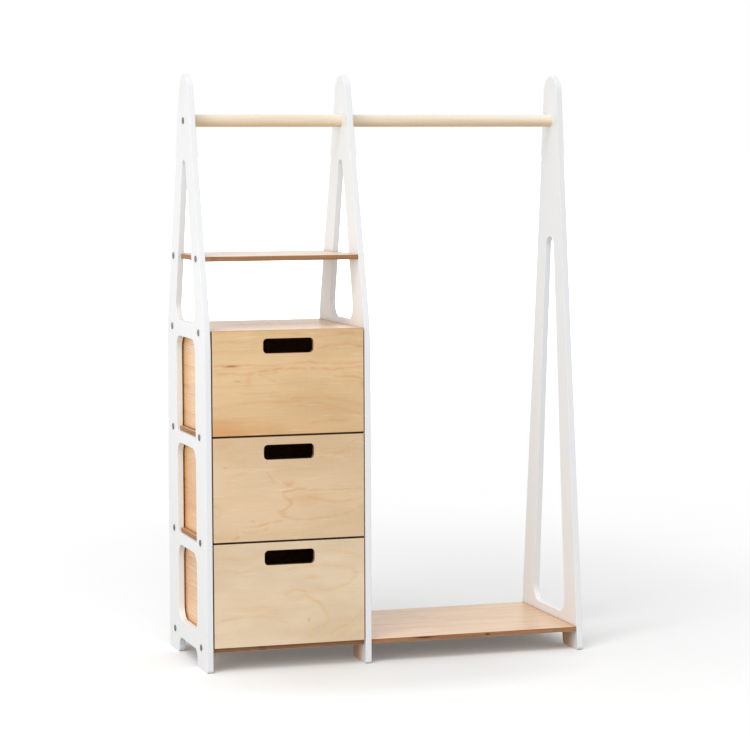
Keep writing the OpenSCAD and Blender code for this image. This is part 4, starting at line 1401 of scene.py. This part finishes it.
# %% Steel fittings
RINGS_PER_MM = 22.0
BROWNED, ZINC, BRIGHT = (
    [shade(*tone) for tone in tones] for tones in (
        ((96, 84, 76), (142, 130, 120)), ((150, 148, 142), (196, 194, 188)),
        ((196, 197, 198), (222, 223, 224)),
    )
)
frame_fittings = [node for node in pieces if node.endswith(("_bolts", "_nuts", "_cams"))]
for name, tones, roughness, rings, nodes in (
    ("browned_steel", BROWNED, 0.42, 0.35, frame_fittings),
    ("bright_caps", BRIGHT, 0.16, 0.35, ["mirror_screws"]),
    ("turned_zinc", ZINC, 0.34, 0.35, [f"drawer_{place}_screws" for place in rises]),
    ("zinc_steel", ZINC, 0.34, 0, ["link_bolts", "rail_inserts", "back_panel_screws"]),
):
    net = Finish(name)
    patina = net.soft_step(net.grains(net.place, (240, 240, 240), 3.3, 3.0), 0.3, 0.7)
    height = net.grains(net.place, (2600, 2600, 2600), 1.1)
    net.dress(
        net.mixed(patina, *tones),
        net.soft_step(patina, 0.0, 1.0, roughness + 0.1, roughness - 0.05), Metallic=1.0,
    )
    if rings:
        arm = net.node("Attribute", attribute_name=TURNING).outputs["Fac"]
        height = net.multiply_add(net.sine(net.multiply(arm, RINGS_PER_MM)), rings, height)
    net.relief(height, 0.3, 0.03)
    net.finish(*nodes)
print(len(frame_fittings), "sets of frame fittings, screws and caps finished")

# %% [markdown]
# ## The mirror
#
# A mirror is silvered behind its glass. As one thin sheet it can be a metal with
# almost no roughness in front, a ground and polished rim with the green of thick
# glass, and the grey protecting paint on its rear face.

# %% Silver, rim and rear paint
net = Finish("mirror_silver")
facing = net.parts(net.normal)[1]
silvered = net.soft_step(facing, 0.7, 0.98)
rear = net.soft_step(facing, -0.9, -0.6, 1.0, 0.0)
haze = net.grains(net.place, (6, 6, 6), 9.0, 3.0)
rim = net.mixed(haze, shade(150, 178, 168), shade(176, 200, 190))
silver = net.mixed(haze, shade(236, 239, 238), shade(242, 244, 243))
colour = net.mixed(silvered, rim, silver)
speckled = net.grains(net.place, (1400, 1400, 1400), 5.0)
colour = net.mixed(rear, colour, net.mixed(speckled, shade(96, 98, 98), shade(128, 130, 130)))
metal = net.maximum(silvered, net.multiply(net.subtract(1.0, rear), 0.4))
clean = net.soft_step(haze, 0.3, 0.7, 0.008, 0.022)
net.dress(colour, net.blend(rear, net.blend(silvered, 0.12, clean), 0.6), Metallic=metal)
net.finish("mirror")
print("mirror silvered")

# %% [markdown]
# ## Camera, light and floor
#
# The camera stands where the photographer's did: to the left of the unit, a little
# above its middle and more than six metres away, with a long lens. The light is a
# broad soft sun from above and an even pale sky, as in a white studio. The floor
# is lit like everything else, so it keeps the shadow under the unit.

# %% Camera
CAMERA_PLACE = Vector((-1.9313, -6.1912, 1.2423))
CAMERA_TURN, CAMERA_DIP, CAMERA_ROLL = math.radians(17.34), math.radians(4.87), math.radians(-0.21)
LENS, SENSOR = 124.85, 36


def in_scene(name, data):
    """A new object of the scene that is not a mesh."""
    thing = bpy.data.objects.new(name, data)
    bpy.context.scene.collection.objects.link(thing)
    return thing


camera = in_scene("camera", bpy.data.cameras.new("camera"))
camera.matrix_world = (
    Matrix.Translation(CAMERA_PLACE) @ Matrix.Rotation(-CAMERA_TURN, 4, "Z")
    @ Matrix.Rotation(math.pi / 2 - CAMERA_DIP, 4, "X") @ Matrix.Rotation(CAMERA_ROLL, 4, "Z")
)
camera.data.sensor_fit = "HORIZONTAL"
camera.data.sensor_width = SENSOR
camera.data.lens = LENS
bpy.context.scene.camera = camera
print("camera looks", math.degrees(CAMERA_TURN), "degrees to the right of straight back")

# %% Light
SKY_LEVEL, SUN_LEVEL = 0.66, 1.15
SUN_WIDTH = math.radians(36)
SUN_FROM = Vector((-0.35, -0.5, 1.0))
BOX_PLACE, BOX_AIM = Vector((-3.0, -2.5, 1.7)), Vector((-0.3, 0, 0.7))
BOX_SIZE, BOX_WATTS = 1.6, 33

bpy.context.scene.view_settings.view_transform = "Standard"
world = bpy.data.worlds.new("studio")
bpy.context.scene.world = world
world.use_nodes = True
studio = Net(world.node_tree)
studio.tree.nodes.clear()
sky, white = (
    studio.node("Background", {"Color": (1, 1, 1, 1), "Strength": level}).outputs[0]
    for level in (SKY_LEVEL, 1)
)
shown = studio.node("MixShader", (studio.seen(), sky, white)).outputs[0]
studio.node("OutputWorld", {"Surface": shown})

sun = in_scene("soft_sun", bpy.data.lights.new("soft_sun", "SUN"))
sun.data.energy = SUN_LEVEL
sun.data.angle = SUN_WIDTH
sun.rotation_euler = SUN_FROM.to_track_quat("Z", "Y").to_euler()

box = in_scene("soft_box", bpy.data.lights.new("soft_box", "AREA"))
box.data.shape = "SQUARE"
box.data.size = BOX_SIZE
box.data.energy = BOX_WATTS
box.location = BOX_PLACE
box.rotation_euler = (BOX_PLACE - BOX_AIM).to_track_quat("Z", "Y").to_euler()
print("sky", SKY_LEVEL, "sun", SUN_LEVEL, "soft box", (BOX_PLACE - BOX_AIM).length, "m away")

# %% [markdown]
# The floor's own light, which only the camera sees, lifts it to the pale grey of a
# studio. It is weaker inside three soft ellipses, given by centre, reach, the part
# of the reach where it grows, and the least lift. They make the shadow softer and
# wider than the lamps alone would. Far away the floor turns white like the sky.

# %% Floor
FLOOR_SIZE = 4000
FLOOR_BOUNCE, FLOOR_LIT, FLOOR_CLOUD = 0.58, 0.78, 0.01
AWAY_LIFT = 0.225
SHADES = [
    ((-0.02, -0.32, 0), (0.42, 0.2, 1), (0.4, 1.7), 0.05),
    ((0.05, -0.05, 0), (0.8, 0.5, 1), (0.5, 1.1), 0.12),
    ((0.48, 0.75, 0), (1.0, 1.5, 1), (0.1, 1.45), 0.1),
]
WHITE_FROM, WHITE_FULL = 1.4, 9.0
objects.select_all(action="DESELECT")
mesh.primitive_plane_add(size=FLOOR_SIZE)
floor = bpy.context.object
floor.name = "floor"
net = Finish("pale_floor")
seen = net.seen()
cloud = net.grains(net.place, (3, 3, 3), 1.0)
lit = net.mixed(cloud, *((FLOOR_LIT + way * FLOOR_CLOUD,) * 3 + (1,) for way in (-1, 1)))
lift = AWAY_LIFT
for centre, reach, (inner, outer), near_lift in SHADES:
    arm = net.vector("SUBTRACT", net.place, centre)
    away = net.vector("LENGTH", net.vector("DIVIDE", arm, reach))
    lift = net.minimum(lift, net.soft_step(away, inner, outer, near_lift, AWAY_LIFT))
lift = net.multiply(seen, net.add(lift, net.soft_step(away, WHITE_FROM, WHITE_FULL)))
net.dress(
    net.mixed(seen, (FLOOR_BOUNCE,) * 3 + (1,), lit), 0.9, Specular_IOR_Level=0.0,
    Emission_Color=net.grey(lift), Emission_Strength=1.0,
)
floor.data.materials.append(net.material)
floor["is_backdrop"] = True
print("floor", FLOOR_SIZE, "m wide")

# %% [markdown]
# ## The size of the pieces
#
# Dressing a model must not change its size, so the box of the pieces that now stand
# for the solids is printed.

# %% Sizes and finish
low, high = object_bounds()
print("pieces", low, high)
